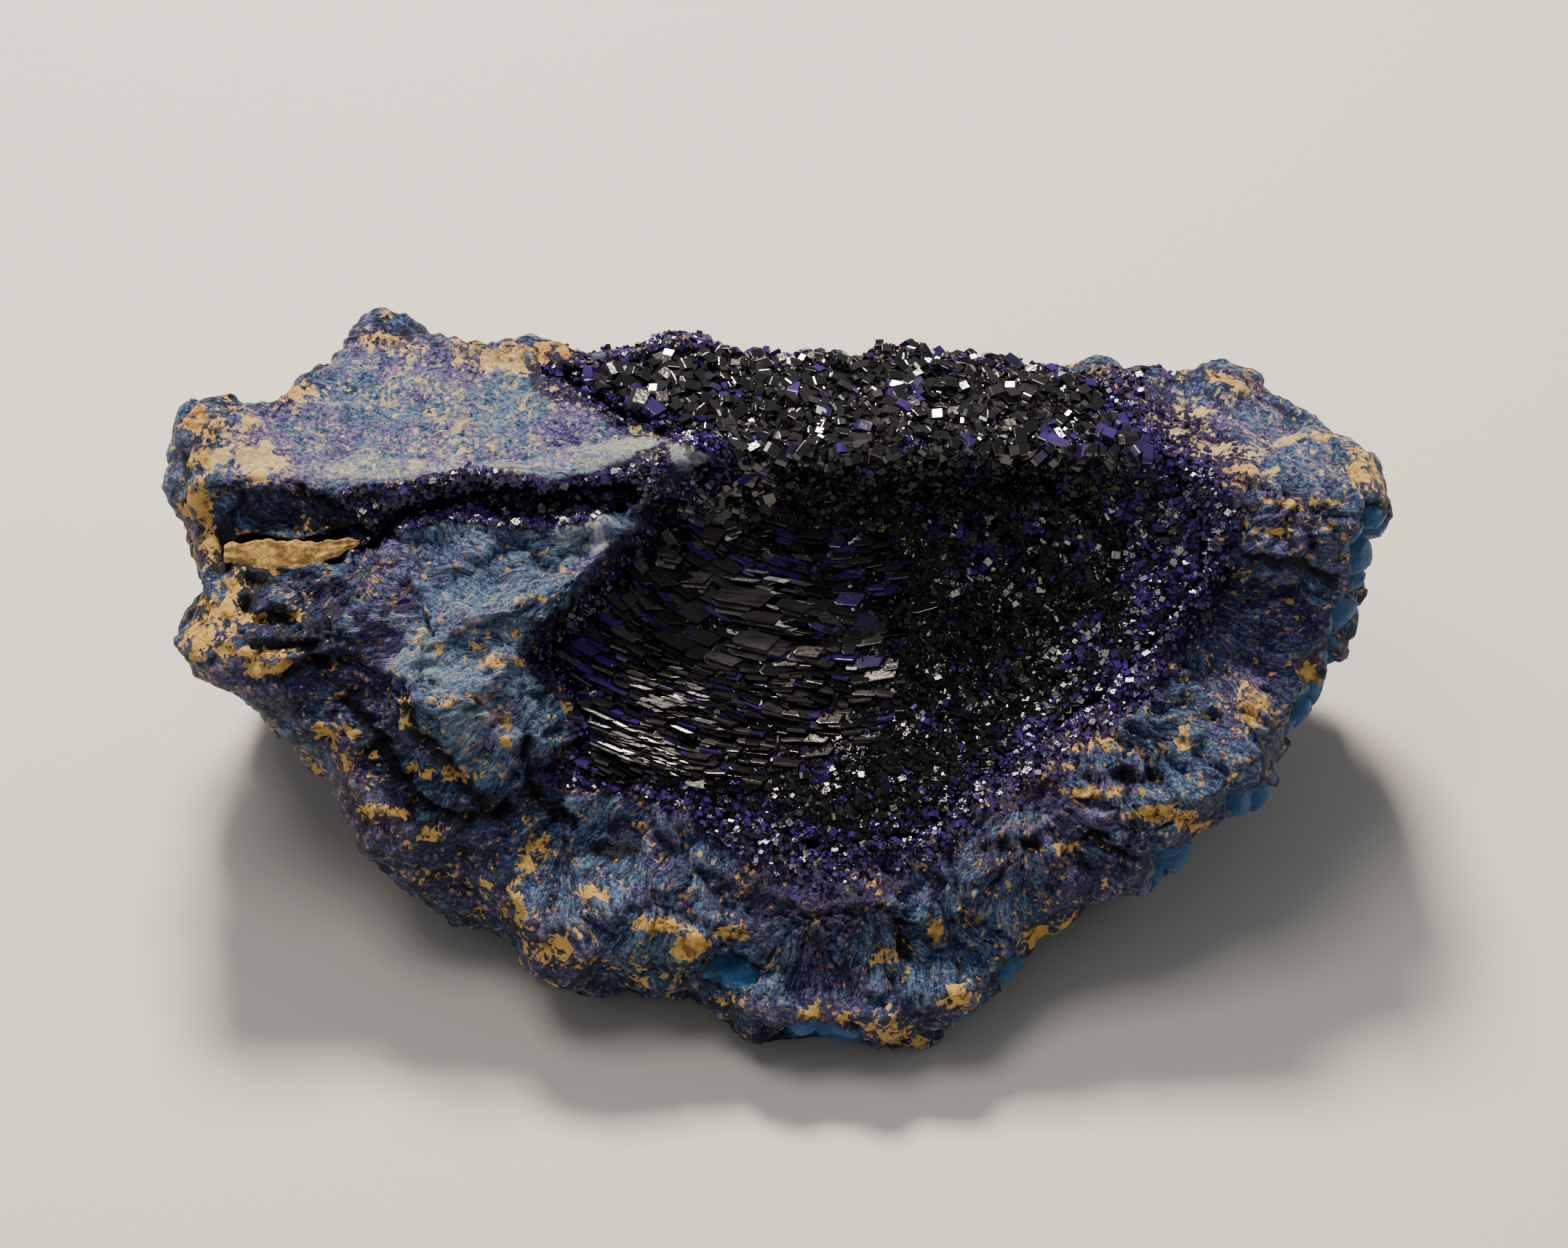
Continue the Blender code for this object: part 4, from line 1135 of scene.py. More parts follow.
@dataclass
class Druse:
    """Many crystals that make one piece."""

    name: str
    growths: list[Growth] = field(default_factory=list)
    chunk: int = 48  # crystals that are made in one go, which is faster than all at once

    def grow(
        self, templates: dict[Habit, bpy.types.Mesh], finish: bpy.types.Material
    ) -> bpy.types.Object:
        """Makes the crystals' mesh and dresses it.

        Args:
            templates: The mesh of each habit.
            finish: The crystals' material.

        Returns:
            The finished piece.
        """
        parts = []
        for start in range(0, len(self.growths), self.chunk):
            shape = bmesh.new()
            tint = shape.verts.layers.float.new("tint")
            for growth in self.growths[start : start + self.chunk]:
                first = len(shape.verts)
                shape.from_mesh(templates[growth.habit])
                shape.verts.ensure_lookup_table()
                new = shape.verts[first:]
                for vert in new:
                    vert[tint] = growth.tint
                bmesh.ops.transform(shape, matrix=growth.place, verts=new)
            parts.append(mesh_from(shape, "chunk"))
        mesh = merged(parts)
        mesh.name = self.name
        mesh.shade_flat()
        mesh.materials.clear()
        mesh.materials.append(finish)
        piece = new_piece(self.name, mesh)
        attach(piece, "root")
        report(piece)
        return piece


@dataclass(frozen=True)
class Zone:
    """A stretch of the hollow whose crystals grow alike."""

    name: str  # of the piece that they make
    habit: Habit
    size: tuple[float, float, float]  # mm, the usual length, width and thickness
    spread: float  # how far sizes stray from that, as a share
    tumble: float  # how far each group of crystals leans at random
    blue: float  # the share of crystals that show blue
    smoke: float  # how smoky the others may be, from 0 to 1
    group: float  # mm across a group that grew side by side
    spacing: float = 0.0  # mm between crystals, where they stand in rows
    where: Callable[[float, float], bool] = lambda a, b: True  # which points it holds


def above_brow(a: float, b: float) -> float:
    """Returns how far the point is above the shelf's front edge, in millimetres."""
    return b - float(height_of(BROW, a))


WALL = Zone("wall", Habit.WEDGE, (0.44, 0.30, 0.27), 0.36, 0.85, 0.05, 0.3, 1.4, 0.41)
ZONES = (  # a point belongs to the first that holds it
    Zone("corner", Habit.BLOCK, (1.1, 0.85, 0.75), 0.25, 0.55, 0.02, 0.6, 2.6, 0.90,
         lambda a, b: above_brow(a, b) > -0.6 and a < -5),
    Zone("shelf", Habit.BLOCK, (0.82, 0.52, 0.46), 0.40, 0.70, 0.06, 0.8, 2.4, 0.62,
         lambda a, b: above_brow(a, b) > -0.6),
    Zone("nook", Habit.BLOCK, (0.90, 0.62, 0.44), 0.35, 0.65, 0.06, 0.6, 2.6, 0.70,
         lambda a, b: a < 0 and above_brow(a, b) > -9.0),
    WALL,
)
FILL = Zone("fill", Habit.GRAIN, (0.36, 0.27, 0.24), 0.32, 0.9, 0.06, 0.3, 1.4, 0.42)
RIM = Zone("rim", Habit.GRAIN, (0.32, 0.25, 0.23), 0.3, 1.0, 0.78, 0.2, 0.8)
SEAM = Zone("seam", Habit.GRAIN, (0.34, 0.27, 0.25), 0.35, 1.0, 0.74, 0.2, 0.8)


@dataclass(frozen=True)
class RingBand:
    """Rings of plates that lie like roof tiles, from one half-height to the next."""

    first: float  # mm
    last: float  # mm
    gap: float  # mm between rings
    size: tuple[float, float, float]  # mm, a plate's length, width and thickness
    tilt: float  # degrees between a plate's flat and the face
    blue: float  # the share of plates that show blue


RING_BANDS = (
    RingBand(6.0, 11.4, 0.46, (1.6, 1.0, 0.20), 42.0, 0.30),
    RingBand(11.6, 17.6, 0.60, (2.0, 1.3, 0.26), 38.0, 0.16),
    RingBand(18.0, 33.0, 0.52, (1.6, 1.1, 0.22), 58.0, 0.16),
)
BIG_PLATES = (  # A, B, length, width, thickness in mm, and degrees that it dips to the right
    (-3.2, 42.2, 5.2, 1.7, 0.4, 9.0), (1.6, 41.4, 3.0, 1.2, 0.4, 14.0),
    (-1.0, 40.4, 3.6, 1.1, 0.4, 8.0), (-1.4, 38.4, 5.4, 1.8, 0.4, 13.0),
    (2.8, 37.4, 2.8, 1.1, 0.4, 6.0), (-6.6, 43.8, 2.8, 1.1, 0.3, 2.0),
    (-4.6, 36.8, 3.0, 1.0, 0.3, 18.0), (-6.0, 47.6, 1.8, 1.2, 0.4, 10.0),
    (-3.6, 48.4, 1.7, 1.2, 0.5, -20.0), (-8.8, 46.0, 2.2, 1.2, 0.4, 12.0),
)
TO_KEY = (-0.077, 0.62, 0.78)  # the way a flat looks that shows the camera the key lamp
PAST_KEY = (-0.10, 0.44, 0.89)  # a little off it


@dataclass(frozen=True)
class Stack:
    """Plates that grew parallel, so that they all catch the light at once."""

    place: Patch
    count: int
    along: tuple[float, float, float]  # the way their lengths run
    lie: tuple[float, float, float]  # the way their flats look
    lengths: tuple[float, float]  # mm, the least and the most
    widths: tuple[float, float]  # mm
    stray: float  # how far they turn from one another
    thicknesses: tuple[float, float] = (0.12, 0.24)  # mm


STACKS = (
    Stack(Patch(-12.0, 29.4, 3.2, 1.4), 76, (0.864, -0.350, 0.363), TO_KEY,
          (1.3, 3.0), (0.18, 0.30), 0.16),
    Stack(Patch(-2.4, 50.0, 2.0, 2.4), 26, (0.5, -0.66, 0.56), TO_KEY, (0.6, 1.0), (0.4, 0.7), 0.16),
    Stack(Patch(-9.0, 33.6, 3.4, 2.6), 34, (0.90, -0.30, 0.30), PAST_KEY, (1.3, 2.6), (0.2, 0.4), 0.22),
    Stack(Patch(-1.0, 40.6, 3.6, 3.6), 26, (0.95, -0.20, 0.20), PAST_KEY, (1.3, 2.6), (0.2, 0.4), 0.22),
)


def stray_by(chance: random.Random, spread: float) -> Vector:
    """Returns a random vector whose parts stray from 0 by about the spread."""
    return Vector([chance.gauss(0, spread) for _ in range(3)])


def placing_of(centre: Vector, along: Vector, lie: Vector, size: Sequence[float]) -> Matrix:
    """Places a crystal of a given size.

    Args:
        centre: Its middle, as A, B and C in millimetres.
        along: The way its length runs, one unit long and square to lie.
        lie: The way its flat looks, one unit long.
        size: Its length, width and thickness in millimetres.

    Returns:
        The matrix from the crystal's one-unit shape to the specimen's metres.
    """
    turn = Matrix((along, lie.cross(along), lie)).transposed().to_4x4()
    return FACE.placing() @ (Matrix.Translation(centre) @ turn @ Matrix.Diagonal((*size, 1)))


def foot_at(tree: BVHTree, a: float, b: float) -> tuple[Vector, Vector] | None:
    """Finds the surface at a point of the face.

    Args:
        tree: The surfaces, in the face's millimetres.
        a: Where along the face.
        b: Where up the face.

    Returns:
        The point of the surface and its normal, or None where there is none.
    """
    hit, normal, _, _ = tree.ray_cast(Vector((a, b, OVER_ALL)), Vector((0, 0, -1)))
    return None if hit is None else (hit, normal)


@dataclass
class CrystalHollow:
    """The crystals of the hollow, on their bed."""

    bed_step: float = 0.6  # mm
    bed_drop: float = 0.35  # mm from the crystals' surface down to the bed
    bed_rough: float = 0.3  # mm, how uneven the bed is
    bed_depth: float = 3.6  # mm of bed under that, which sinks it into the stone
    back_rise: float = 1.5  # mm less of it at the back, where the stone is thin
    back_grid: tuple[int, int] = (100, 9)  # columns and rows of crystals down the bed's back
    back_spacing: tuple[float, float] = (0.52, 0.45)  # mm between those columns and rows
    back_foot: float = 58.0  # mm up the face, nearer than which none of them stands
    loners: float = 0.25  # the share of crystals that grew apart from their group
    big_layers: int = 3  # big plates that lie on one another
    seed: int = 7

    def bed(self, finish: bpy.types.Material) -> bpy.types.Object:
        """Makes the closed bed that the crystals stand on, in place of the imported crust.

        Args:
            finish: The bed's material.

        Returns:
            The finished piece.
        """
        low_a, high_a, low_b, high_b = box_round(POCKET)
        wide, high = high_a - low_a, high_b - low_b
        shape = bmesh.new()
        columns, rows = round(wide / self.bed_step), round(high / self.bed_step)
        bmesh.ops.create_grid(shape, x_segments=columns, y_segments=rows, size=0.5)
        for vert in shape.verts:
            a, b = low_a + (vert.co.x + 0.5) * wide, low_b + (vert.co.y + 0.5) * high
            rough = self.bed_rough * noise.noise(Vector((a, b, 0)) / 1.4)
            vert.co = (a, b, float(crust_surface(a, b)) - self.bed_drop + rough)
        a, b, _ = np.array([face.calc_center_median() for face in shape.faces]).T
        kept = (depth_into(a, b, POCKET) > 0.2) & (b < height_of(BACK_EDGE, a))
        out = [face for face, keep in zip(shape.faces, kept) if not keep]
        bmesh.ops.delete(shape, geom=out, context="FACES")
        loose = [vert for vert in shape.verts if not vert.link_faces]
        bmesh.ops.delete(shape, geom=loose, context="VERTS")
        under = bmesh.ops.extrude_face_region(shape, geom=shape.faces[:], use_keep_orig=True)
        for item in under["geom"]:
            if isinstance(item, bmesh.types.BMVert):
                item.co.z -= self.bed_depth - self.back_rise * float(smooth(item.co.y, 56.0, 61.0))
        bmesh.ops.recalc_face_normals(shape, faces=shape.faces)
        bmesh.ops.transform(shape, matrix=FACE.placing(), verts=shape.verts)
        mesh = mesh_from(shape, "crystal_bed")
        mesh.materials.append(finish)
        piece = new_piece("crystal_bed", mesh)
        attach(piece, "root")
        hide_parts("crystal_crust")
        report(piece)
        return piece

    def crystal(
        self, zone: Zone, foot: Vector, normal: Vector, chance: random.Random, near: float = 0.0
    ) -> Growth:
        """Chooses one crystal that stands as it happens to.

        Args:
            zone: How crystals grow here.
            foot: Where it stands, as A, B and C in millimetres.
            normal: The way out of the surface there, in the face's frame.
            chance: Where its random numbers come from.
            near: 1 at the hollow's edge, where most show violet, 0 away from it.

        Returns:
            The crystal.
        """
        kin = noise.voronoi(foot / zone.group)[1][0]
        lean, length = noise.cell_vector(kin * 31.0), noise.cell_vector(kin * 57.0 + Vector((5, 5, 5)))
        alone = 1.0 if chance.random() < self.loners else 0.22
        lie = (normal + zone.tumble * lean + stray_by(chance, alone * zone.tumble)).normalized()
        along = length + stray_by(chance, alone)
        along = (along - lie * along.dot(lie)).normalized()
        scale = min(1.8, math.exp(chance.gauss(0, zone.spread)))
        size = [part * scale * chance.uniform(0.8, 1.25) for part in zone.size]
        centre = foot + lie * size[2] * chance.uniform(0.05, 0.5)
        patchy = 0.4 * float(smooth(noise.noise(foot / 3.0), 0.25, 0.5))
        patchy += 0.3 * float(smooth(foot.x, 18, 32)) * float(smooth(foot.z, -6, -1))
        blue = chance.random() < zone.blue + patchy + 0.55 * near
        tint = chance.uniform(0.1, 1.0) ** 1.5 if blue else -zone.smoke * chance.random() ** 2
        return Growth(zone.habit, placing_of(centre, along, lie, size), tint)

    def plate(
        self, foot: Vector, along: Vector, lie: Vector, size: Sequence[float], tint: float
    ) -> Growth:
        """Lays one plate.

        Args:
            foot: Its place, as A, B and C in millimetres.
            along: The way its length runs.
            lie: The way its flat looks, as nearly as its length lets it.
            size: Its length, width and thickness in millimetres.
            tint: How smoky or blue it is.

        Returns:
            The crystal.
        """
        along = along.normalized()
        lie = (lie - along * lie.dot(along)).normalized()
        return Growth(Habit.PLATE, placing_of(foot, along, lie, size), tint)

    def tile_lie(self, along: Vector, tilt: float) -> Vector:
        """Returns the way that a tile's flat looks when it leans tilt degrees to look up the face."""
        return Matrix.Rotation(math.radians(-tilt), 3, along) @ Vector((0, 0, 1))

    def ring_plates(self, tree: BVHTree, chance: random.Random) -> list[Growth]:
        """Lays the rings of plates, and the big plates among them.

        Args:
            tree: The bed, in the face's millimetres.
            chance: Where the unevenness comes from.

        Returns:
            The plates.
        """
        laid = []
        for band in RING_BANDS:
            for ring in range(int((band.last - band.first) / band.gap) + 1):
                laid += self.ring(tree, band, band.first + ring * band.gap, chance)
        for a, b, length, width, thick, dip in BIG_PLATES:
            foot = foot_at(tree, a, b)
            along = Vector((math.cos(math.radians(dip)), -math.sin(math.radians(dip)), 0))
            for layer in range(self.big_layers if foot else 0):
                shift = Vector((chance.gauss(0, 0.4), -0.42 * layer, 0.9 - 0.15 * layer))
                lie = self.tile_lie(along, 36 - 6 * layer + chance.gauss(0, 3))
                size = (length * chance.uniform(0.6, 1.0), width, 0.7 * thick)
                laid.append(self.plate(foot[0] + shift, along, lie, size, -1))
        for stack in STACKS:
            laid += self.stack(tree, stack, chance)
        return laid

    def ring(self, tree: BVHTree, band: RingBand, reach: float, chance: random.Random) -> list[Growth]:
        """Lays the plates of one ring.

        Args:
            tree: The bed, in the face's millimetres.
            band: How plates lie here.
            reach: The ring's half-height in millimetres.
            chance: Where the unevenness comes from.

        Returns:
            The plates.
        """
        laid = []
        lean = band.tilt + chance.gauss(0, 5)
        angle, end = RING_SWEEP
        while angle < end:
            length = band.size[0] * chance.uniform(0.5, 1.6)
            turn = math.radians(angle)
            a = ROSETTE[0] + RING_WIDTH * reach * math.cos(turn)
            b = ROSETTE[1] + reach * math.sin(turn) + chance.gauss(0, 0.14)
            stray = noise.noise_vector(Vector((a, b, 2.0)) / 4.5)
            a, b = a + stray.x, b + 1.3 * stray.y
            speed = reach * math.hypot(RING_WIDTH * math.sin(turn), math.cos(turn))
            angle += math.degrees(0.82 * length / speed)
            foot = foot_at(tree, a, b) if chance.random() < 0.9 * self.plate_share(a, b) else None
            if foot is None:
                continue
            out = Vector(((a - ROSETTE[0]) / RING_WIDTH / RING_WIDTH, b - ROSETTE[1], 0)).normalized()
            along = Vector((-out.y, out.x, chance.gauss(0, 0.07) + 0.25 * stray.z))
            along.rotate(Matrix.Rotation(chance.gauss(0, 0.06) + 0.35 * stray.x, 3, "Z"))
            blue = chance.random() < band.blue
            tint = chance.uniform(0.1, 0.8) if blue else -0.8 * chance.random() ** 2
            width = band.size[1] * chance.uniform(0.7, 1.2)
            size = (length, width, band.size[2] * chance.uniform(0.7, 1.6))
            lie = self.tile_lie(along, lean + chance.gauss(0, 6) + 22 * stray.z)
            laid.append(self.plate(foot[0] + Vector((0, 0, 0.25 * width)), along, lie, size, tint))
        return laid

    def stack(self, tree: BVHTree, stack: Stack, chance: random.Random) -> list[Growth]:
        """Lays the plates of one stack.

        Args:
            tree: The bed, in the face's millimetres.
            stack: Where and how they lie.
            chance: Where the unevenness comes from.

        Returns:
            The plates.
        """
        laid = []
        for _ in range(stack.count):
            a = stack.place.a + chance.uniform(-1, 1) * stack.place.half_a
            b = stack.place.b + chance.uniform(-1, 1) * stack.place.half_b
            b += (a - stack.place.a) * stack.along[1] / stack.along[0]
            foot = foot_at(tree, a, b)
            if foot is not None:
                along = Vector(stack.along) + stray_by(chance, 0.05)
                lie = Vector(stack.lie) + stray_by(chance, stack.stray)
                reaches = (stack.lengths, stack.widths, stack.thicknesses)
                size = [chance.uniform(*reach) for reach in reaches]
                lift = Vector((0, 0, chance.uniform(0.5, 0.9)))
                laid.append(self.plate(foot[0] + lift, along, lie, size, -0.4))
        return laid

    def back_edge(self, tree: BVHTree, chance: random.Random) -> list[Growth]:
        """Grows the crystals on the bed's back, where the hollow runs out over the specimen's edge.

        Args:
            tree: The surfaces, in the face's millimetres.
            chance: Where the unevenness comes from.

        Returns:
            The crystals.
        """
        grown = []
        columns, rows = self.back_grid
        for column in range(columns):
            a = POCKET[0][0] + self.back_spacing[0] * column
            high = float(crust_surface(np.array(a), np.array(height_of(BACK_EDGE, a)))) - 0.3
            for row in range(rows):
                spot = Vector((a + chance.gauss(0, 0.15), BEHIND_ALL, 0))
                spot.z = high - self.back_spacing[1] * row + chance.gauss(0, 0.1)
                hit, normal, _, _ = tree.ray_cast(spot, Vector((0, -1, 0)))
                if hit is not None and hit.y > self.back_foot:
                    grown.append(self.crystal(WALL, hit, normal, chance))
        return grown

    def plate_share(self, a: float, b: float) -> float:
        """Returns the share of places here that hold a plate rather than blocks."""
        deep = float(depth_into(np.array(a), np.array(b), POCKET))
        if deep < 0.9 or above_brow(a, b) > -5.0:
            return 0.0
        return float(smooth(a, 15, 2) * smooth(b - 0.35 * a, 25, 31))

    def spots(self, spacing: float, chance: random.Random) -> np.ndarray:
        """Goes over the hollow in uneven rows.

        Args:
            spacing: Millimetres between spots.
            chance: Where the unevenness comes from.

        Returns:
            A row for each spot: its A, its B and how deep it lies inside the hollow's edge.
        """
        low_a, high_a, low_b, high_b = box_round(POCKET)
        found = []
        for row in range(int((high_b - low_b) / (spacing * ROW_STEP))):
            for step in range(int((high_a - low_a) / spacing)):
                a = low_a + (step + 0.5 * (row % 2)) * spacing + chance.gauss(0, 0.24) * spacing
                found.append((a, low_b + row * ROW_STEP * spacing + chance.gauss(0, 0.24) * spacing))
        a, b = np.array(found).T
        return np.column_stack((a, b, depth_into(a, b, POCKET)))

    def lining(self, matrix: bpy.types.Object, chance: random.Random) -> dict[str, list[Growth]]:
        """Chooses the fine crystals on the stone of the hollow's rim and in the seam.

        Args:
            matrix: The stone.
            chance: Where the random numbers come from.

        Returns:
            The crystals of the rim and of the seam.
        """
        points = FACE.to_face(points_of(matrix.data))
        normals = points_of(matrix.data, "normal") @ np.array(FACE.placing().to_3x3().normalized())
        a, b, c = points.T
        rim = -depth_into(a, b, POCKET)
        reach = rim_width(a, b)
        crowd = smooth(rim, reach, 0.0) ** 1.6 * (rim > -2.5) * (c > -11)
        into = np.maximum(depth_into(a, b, SEAM_SPREAD), depth_into(a, b, CREVICE))
        seam = smooth(-into, 0.5, -0.2) * (c > -8) * smooth(a, -38.0, -36.0)
        back = height_of(BACK_EDGE, a)
        drop = crust_surface(a, back) - c
        behind = smooth(drop, 7.5, 3.0) * (b > back - 1.0) * (drop > 0)
        behind = behind * smooth(a, -20.0, -15.0) * smooth(a, 36.0, 30.0) * (normals[:, 1] > 0.5)
        crowd = np.maximum(crowd, 0.5 * behind)
        found: dict[str, list[Growth]] = {"rim": [], "seam": []}
        for i in np.flatnonzero((crowd > 0) | (seam > 0)):
            name = "seam" if seam[i] > crowd[i] else "rim"
            if chance.random() < 0.9 * max(seam[i], crowd[i]):
                kind = SEAM if name == "seam" and c[i] < -1.5 else RIM
                found[name].append(self.crystal(kind, Vector(points[i]), Vector(normals[i]), chance))
        return found

    def wants(self, zone: Zone, a: float, b: float, deep: float, chance: random.Random) -> bool:
        """Tells whether a zone has a crystal at a spot.

        Args:
            zone: The zone.
            a: Where the spot is along the face, in millimetres.
            b: Where up the face, in millimetres.
            deep: How deep it lies inside the hollow's edge, in millimetres.
            chance: Where the random numbers come from.

        Returns:
            True if it has.
        """
        if zone is FILL:
            return deep > -0.5
        if deep <= (0.4 if a > -2 else 0.7) or next(z for z in ZONES if z.where(a, b)) is not zone:
            return False
        return chance.random() > 0.85 * self.plate_share(a, b)

    def grow(
        self,
        matrix: bpy.types.Object,
        bed: bpy.types.Object,
        seam_bed: bpy.types.Object,
        finishes: dict[str, bpy.types.Material],
    ) -> list[bpy.types.Object]:
        """Grows the hollow's crystals, and the fine ones on its rim and in the seam.

        Args:
            matrix: The stone round the hollow.
            bed: The hollow's bed.
            seam_bed: The seam's bed.
            finishes: The material of each group of crystals, by the group's name.

        Returns:
            The pieces.
        """
        chance = random.Random(self.seed)
        floor, all_round = surface_tree([bed]), surface_tree([matrix, bed, seam_bed])
        groups = self.lining(matrix, chance)
        groups["ring"] = self.ring_plates(floor, chance)
        for zone in (*ZONES, FILL):
            grown = groups.setdefault(zone.name, [])
            for a, b, deep in self.spots(zone.spacing, chance):
                spot = foot_at(all_round, a, b) if self.wants(zone, a, b, deep, chance) else None
                if spot is not None:
                    grown.append(self.crystal(zone, *spot, chance, float(smooth(deep, 3.0, -0.3))))
        for a, b in seam_spots(chance):
            spot = foot_at(all_round, a, b)
            if spot is not None:
                groups["seam"].append(self.crystal(SEAM, *spot, chance))
        groups["wall"] += self.back_edge(floor, chance)
        templates = {habit: habit_mesh(habit) for habit in Habit}
        return [
            Druse(f"{name}_crystals", grown).grow(templates, finishes[name])
            for name, grown in groups.items()
        ]


def seam_spots(chance: random.Random, tries: int = 4200) -> list[tuple[float, float]]:
    """Chooses where fine crystals stand on the floor of the seam.

    Args:
        chance: Where the random numbers come from.
        tries: How many places are tried; those outside the seam are left out.

    Returns:
        A and B of each.
    """
    tried = [(chance.uniform(-38, -9), chance.uniform(44.5, 53)) for _ in range(tries)]
    a, b = np.array(tried).T
    held = np.maximum(depth_into(a, b, SEAM_SPREAD), depth_into(a, b, CREVICE)) > 0.0
    return [spot for spot, keep in zip(tried, held) if keep]


def surface_tree(pieces: list[bpy.types.Object]) -> BVHTree:
    """Makes a search tree of pieces, in the face's millimetres.

    Args:
        pieces: The pieces.

    Returns:
        The tree.
    """
    shape = bmesh.new()
    for piece in pieces:
        shape.from_mesh(piece.data)
    bmesh.ops.transform(shape, matrix=FACE.placing().inverted(), verts=shape.verts)
    tree = BVHTree.FromBMesh(shape)
    shape.free()
    return tree


@dataclass
class ClayStrip:
    """The strip of ochre clay in the left end of the seam, under the slab."""

    middle: Outline = ((-47.0, 45.9), (-43.4, 45.3), (-40.6, 45.6), (-38.0, 46.1), (-35.6, 46.8))
    half_widths: tuple[float, ...] = (0.8, 1.7, 1.3, 0.9, 0.2)  # mm, at those points
    lip: float = 2.4  # mm below its middle, the stone that its height is measured from
    sunk: float = 1.0  # mm, how far it lies below that stone
    crumb: float = 0.22  # mm, how high its crumbs are
    ragged: float = 0.35  # mm, how far its edges wander
    depth: float = 3.6  # mm from its top down into the stone
    faces: tuple[int, int] = (48, 12)  # along it and across it

    def build(self, matrix: bpy.types.Object) -> bpy.types.Object:
        """Makes the strip.

        Args:
            matrix: The stone that holds it.

        Returns:
            The finished piece.
        """
        tree = surface_tree([matrix])
        ends = [p[0] for p in self.middle]
        shape = bmesh.new()
        bmesh.ops.create_grid(shape, x_segments=self.faces[0], y_segments=self.faces[1], size=0.5)
        for vert in shape.verts:
            a = ends[0] + (vert.co.x + 0.5) * (ends[-1] - ends[0])
            across = 2 * vert.co.y
            middle = float(height_of(self.middle, a))
            lip = foot_at(tree, a, middle - self.lip)[0].z
            crumbs = noise.noise(Vector((a, across * 2, 4.0)) / 1.1)
            crumbs += 0.5 * noise.noise(Vector((a, across * 2, 9.0)) / 0.45)
            stray = noise.noise(Vector((a, math.copysign(1.0, across), 2.0)) / 0.9)
            half = float(np.interp(a, ends, self.half_widths)) + self.ragged * stray
            vert.co = (a, middle + across * half, lip - self.sunk + self.crumb * crumbs)
        under = bmesh.ops.extrude_face_region(shape, geom=shape.faces[:], use_keep_orig=True)
        low_side = [item for item in under["geom"] if isinstance(item, bmesh.types.BMVert)]
        bmesh.ops.translate(shape, verts=low_side, vec=(0, 0, -self.depth))
        bmesh.ops.recalc_face_normals(shape, faces=shape.faces)
        bmesh.ops.transform(shape, matrix=FACE.placing(), verts=shape.verts)
        mesh = mesh_from(shape, "seam_clay")
        mesh.shade_smooth()
        mesh.materials.append(SeamClay().material())
        piece = new_piece("seam_clay", mesh)
        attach(piece, "root")
        report(piece)
        return piece


@dataclass(frozen=True)
class Lamp:
    """A soft studio light: where it stands in metres, its size, its power and its colour."""

    name: str
    place: tuple[float, float, float]
    size: float
    watts: float
    colour: str


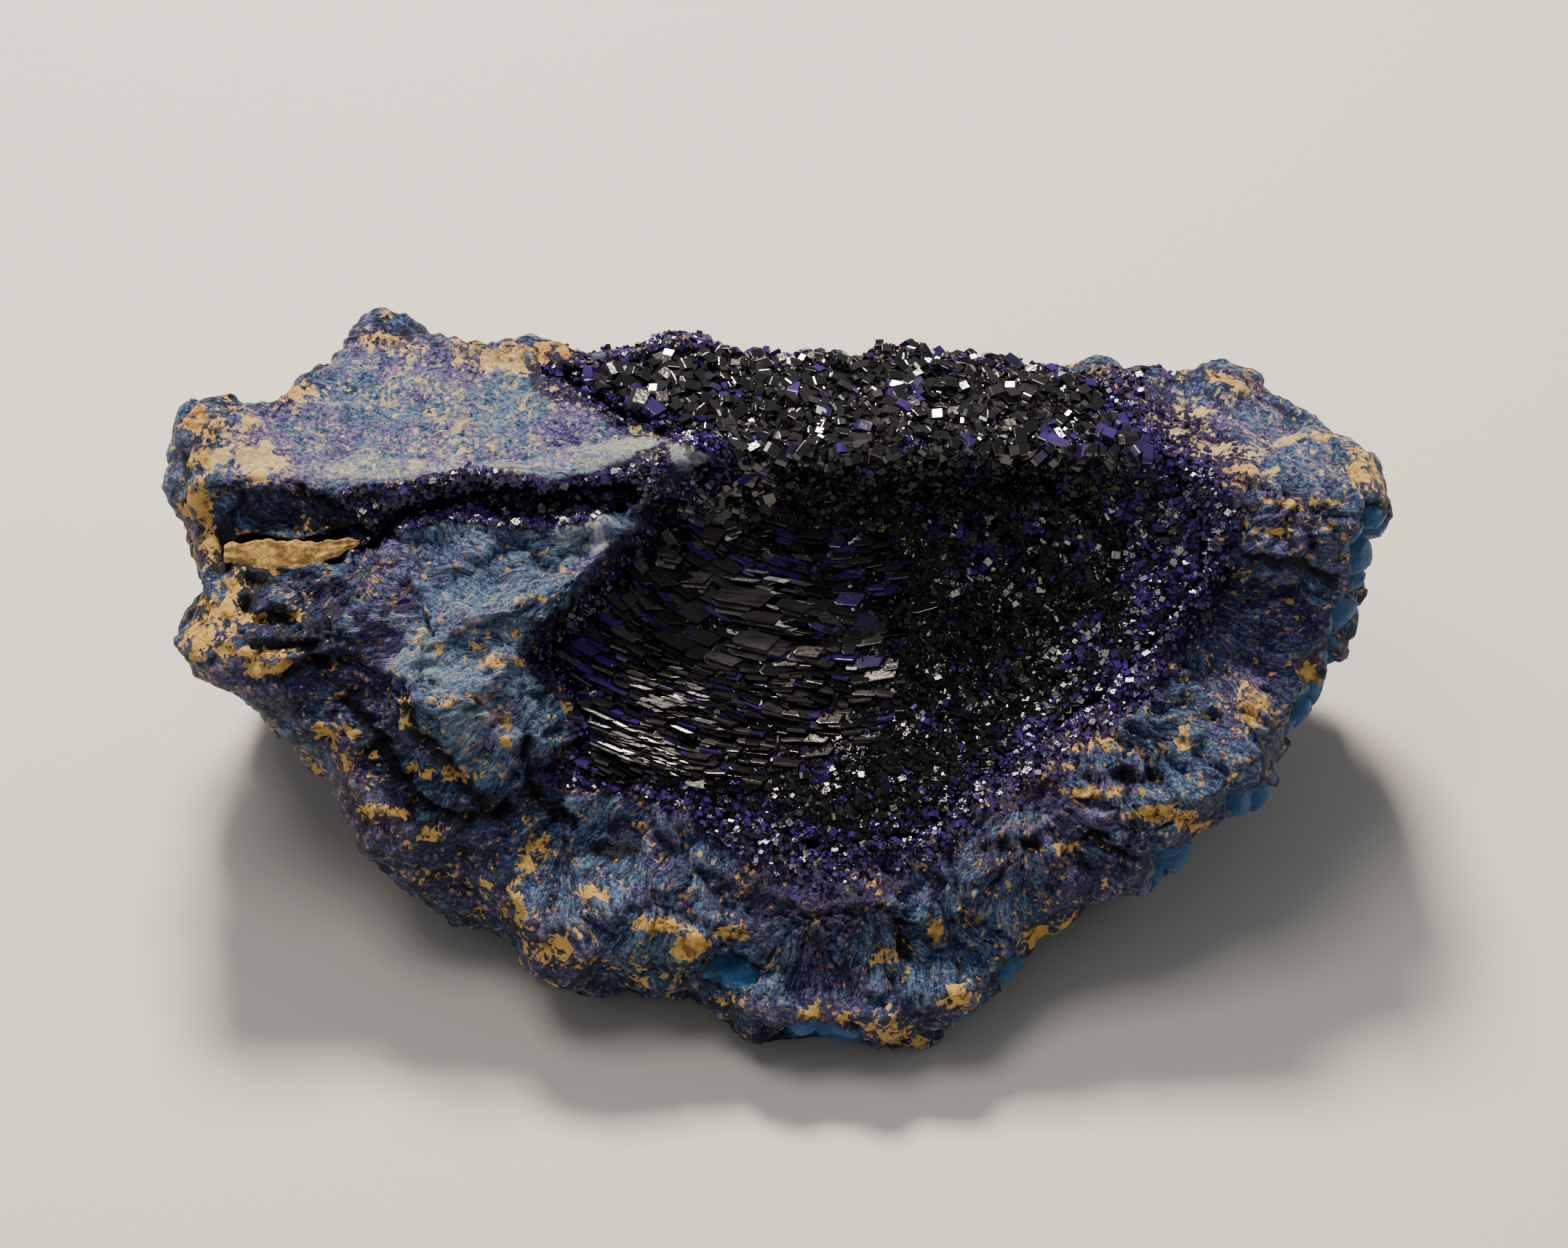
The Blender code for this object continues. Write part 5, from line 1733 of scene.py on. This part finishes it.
@dataclass
class Studio:
    """The floor, the lights and the camera."""

    floor_colour: str = "#b9b7b3"
    floor_reach: float = 3.0  # m
    room_grey: float = 0.22
    sensor: float = 36.0  # mm
    view_width: float = 133.7  # mm across the picture at the broken face
    distance: float = 0.56  # m from the camera to the face
    aim: tuple[float, float, float] = (0.8, 39.8, 0.0)
    lamps: tuple[Lamp, ...] = (
        Lamp("key", (-0.06, 0.27, 0.46), 0.12, 8.0, "#fff0da"),
        Lamp("overhead", (-0.14, -0.06, 0.55), 0.22, 1.6, "#fff6ea"),
        Lamp("fill", (-0.45, -0.70, 0.75), 1.10, 1.4, "#ffffff"),
        Lamp("side", (0.80, 0.10, 0.45), 0.60, 0.9, "#f2f5ff"),
    )

    def floor(self) -> None:
        """Lays the plain pale floor."""
        shape = bmesh.new()
        bmesh.ops.create_grid(shape, x_segments=1, y_segments=1, size=self.floor_reach)
        mesh = mesh_from(shape, "floor")
        made, _, shader = blank_finish("pale_card")
        shader["Base Color"].default_value = linear(self.floor_colour)
        shader["Roughness"].default_value = 0.8
        mesh.materials.append(made)
        new_piece("floor", mesh)

    def lights(self) -> None:
        """Hangs the lights and greys the room."""
        world = bpy.data.worlds.new("room")
        world.use_nodes = True
        world.node_tree.nodes["Background"].inputs["Color"].default_value = (*[self.room_grey] * 3, 1)
        bpy.context.scene.world = world
        aim = FACE.placing() @ Vector(self.aim)
        for lamp in self.lamps:
            light = bpy.data.lights.new(lamp.name, "AREA")
            light.shape = "SQUARE"
            light.size = lamp.size
            light.energy = lamp.watts
            light.color = linear(lamp.colour)[:3]
            holder = bpy.data.objects.new(lamp.name, light)
            holder.location = lamp.place
            holder.rotation_euler = (aim - holder.location).to_track_quat("-Z", "Y").to_euler()
            bpy.context.scene.collection.objects.link(holder)

    def camera(self) -> None:
        """Sets the camera square to the broken face."""
        lens = bpy.data.cameras.new("camera")
        lens.sensor_width = self.sensor
        lens.lens = self.sensor * self.distance / (self.view_width * MM)
        lens.clip_start = 0.05
        holder = bpy.data.objects.new("camera", lens)
        holder.matrix_world = (
            Matrix.Translation(FACE.placing() @ Vector(self.aim))
            @ Matrix.Rotation(FACE.lean, 4, "X")
            @ Matrix.Translation((0, 0, self.distance))
        )
        bpy.context.scene.collection.objects.link(holder)
        bpy.context.scene.camera = holder

    def set_up(self) -> None:
        """Sets up the whole studio."""
        self.floor()
        self.lights()
        self.camera()


def main() -> None:
    """Builds the specimen and its studio."""
    logging.basicConfig(level=logging.INFO, format="%(name)s %(message)s")
    noise.seed_set(NOISE_SEED)
    blocky = AzuriteCrystal().material()
    plated = AzuriteCrystal(
        "azurite_crystal_striated", gloss=0.16, shine=0.26, step=0.02, streak=0.35
    ).material()
    sugary = AzuriteCrystal("azurite_crystal_sugary", etching=0.15, step=0.04).material()
    etched = AzuriteCrystal("azurite_crystal_etched", shine=0.15, etching=0.22, step=0.025).material()
    finishes = dict.fromkeys(("corner", "shelf", "nook"), blocky)
    finishes |= {"ring": plated, "rim": sugary, "seam": sugary, "wall": etched, "fill": etched}
    seam_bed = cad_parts["crevice_crust"]
    seam_bed.data.materials.clear()
    seam_bed.data.materials.append(etched)
    matrix = NoduleMatrix().build()
    ClayStrip().build(matrix)
    hollow = CrystalHollow()
    hollow.grow(matrix, hollow.bed(etched), seam_bed, finishes)
    Studio().set_up()


if __name__ == "__main__":
    main()
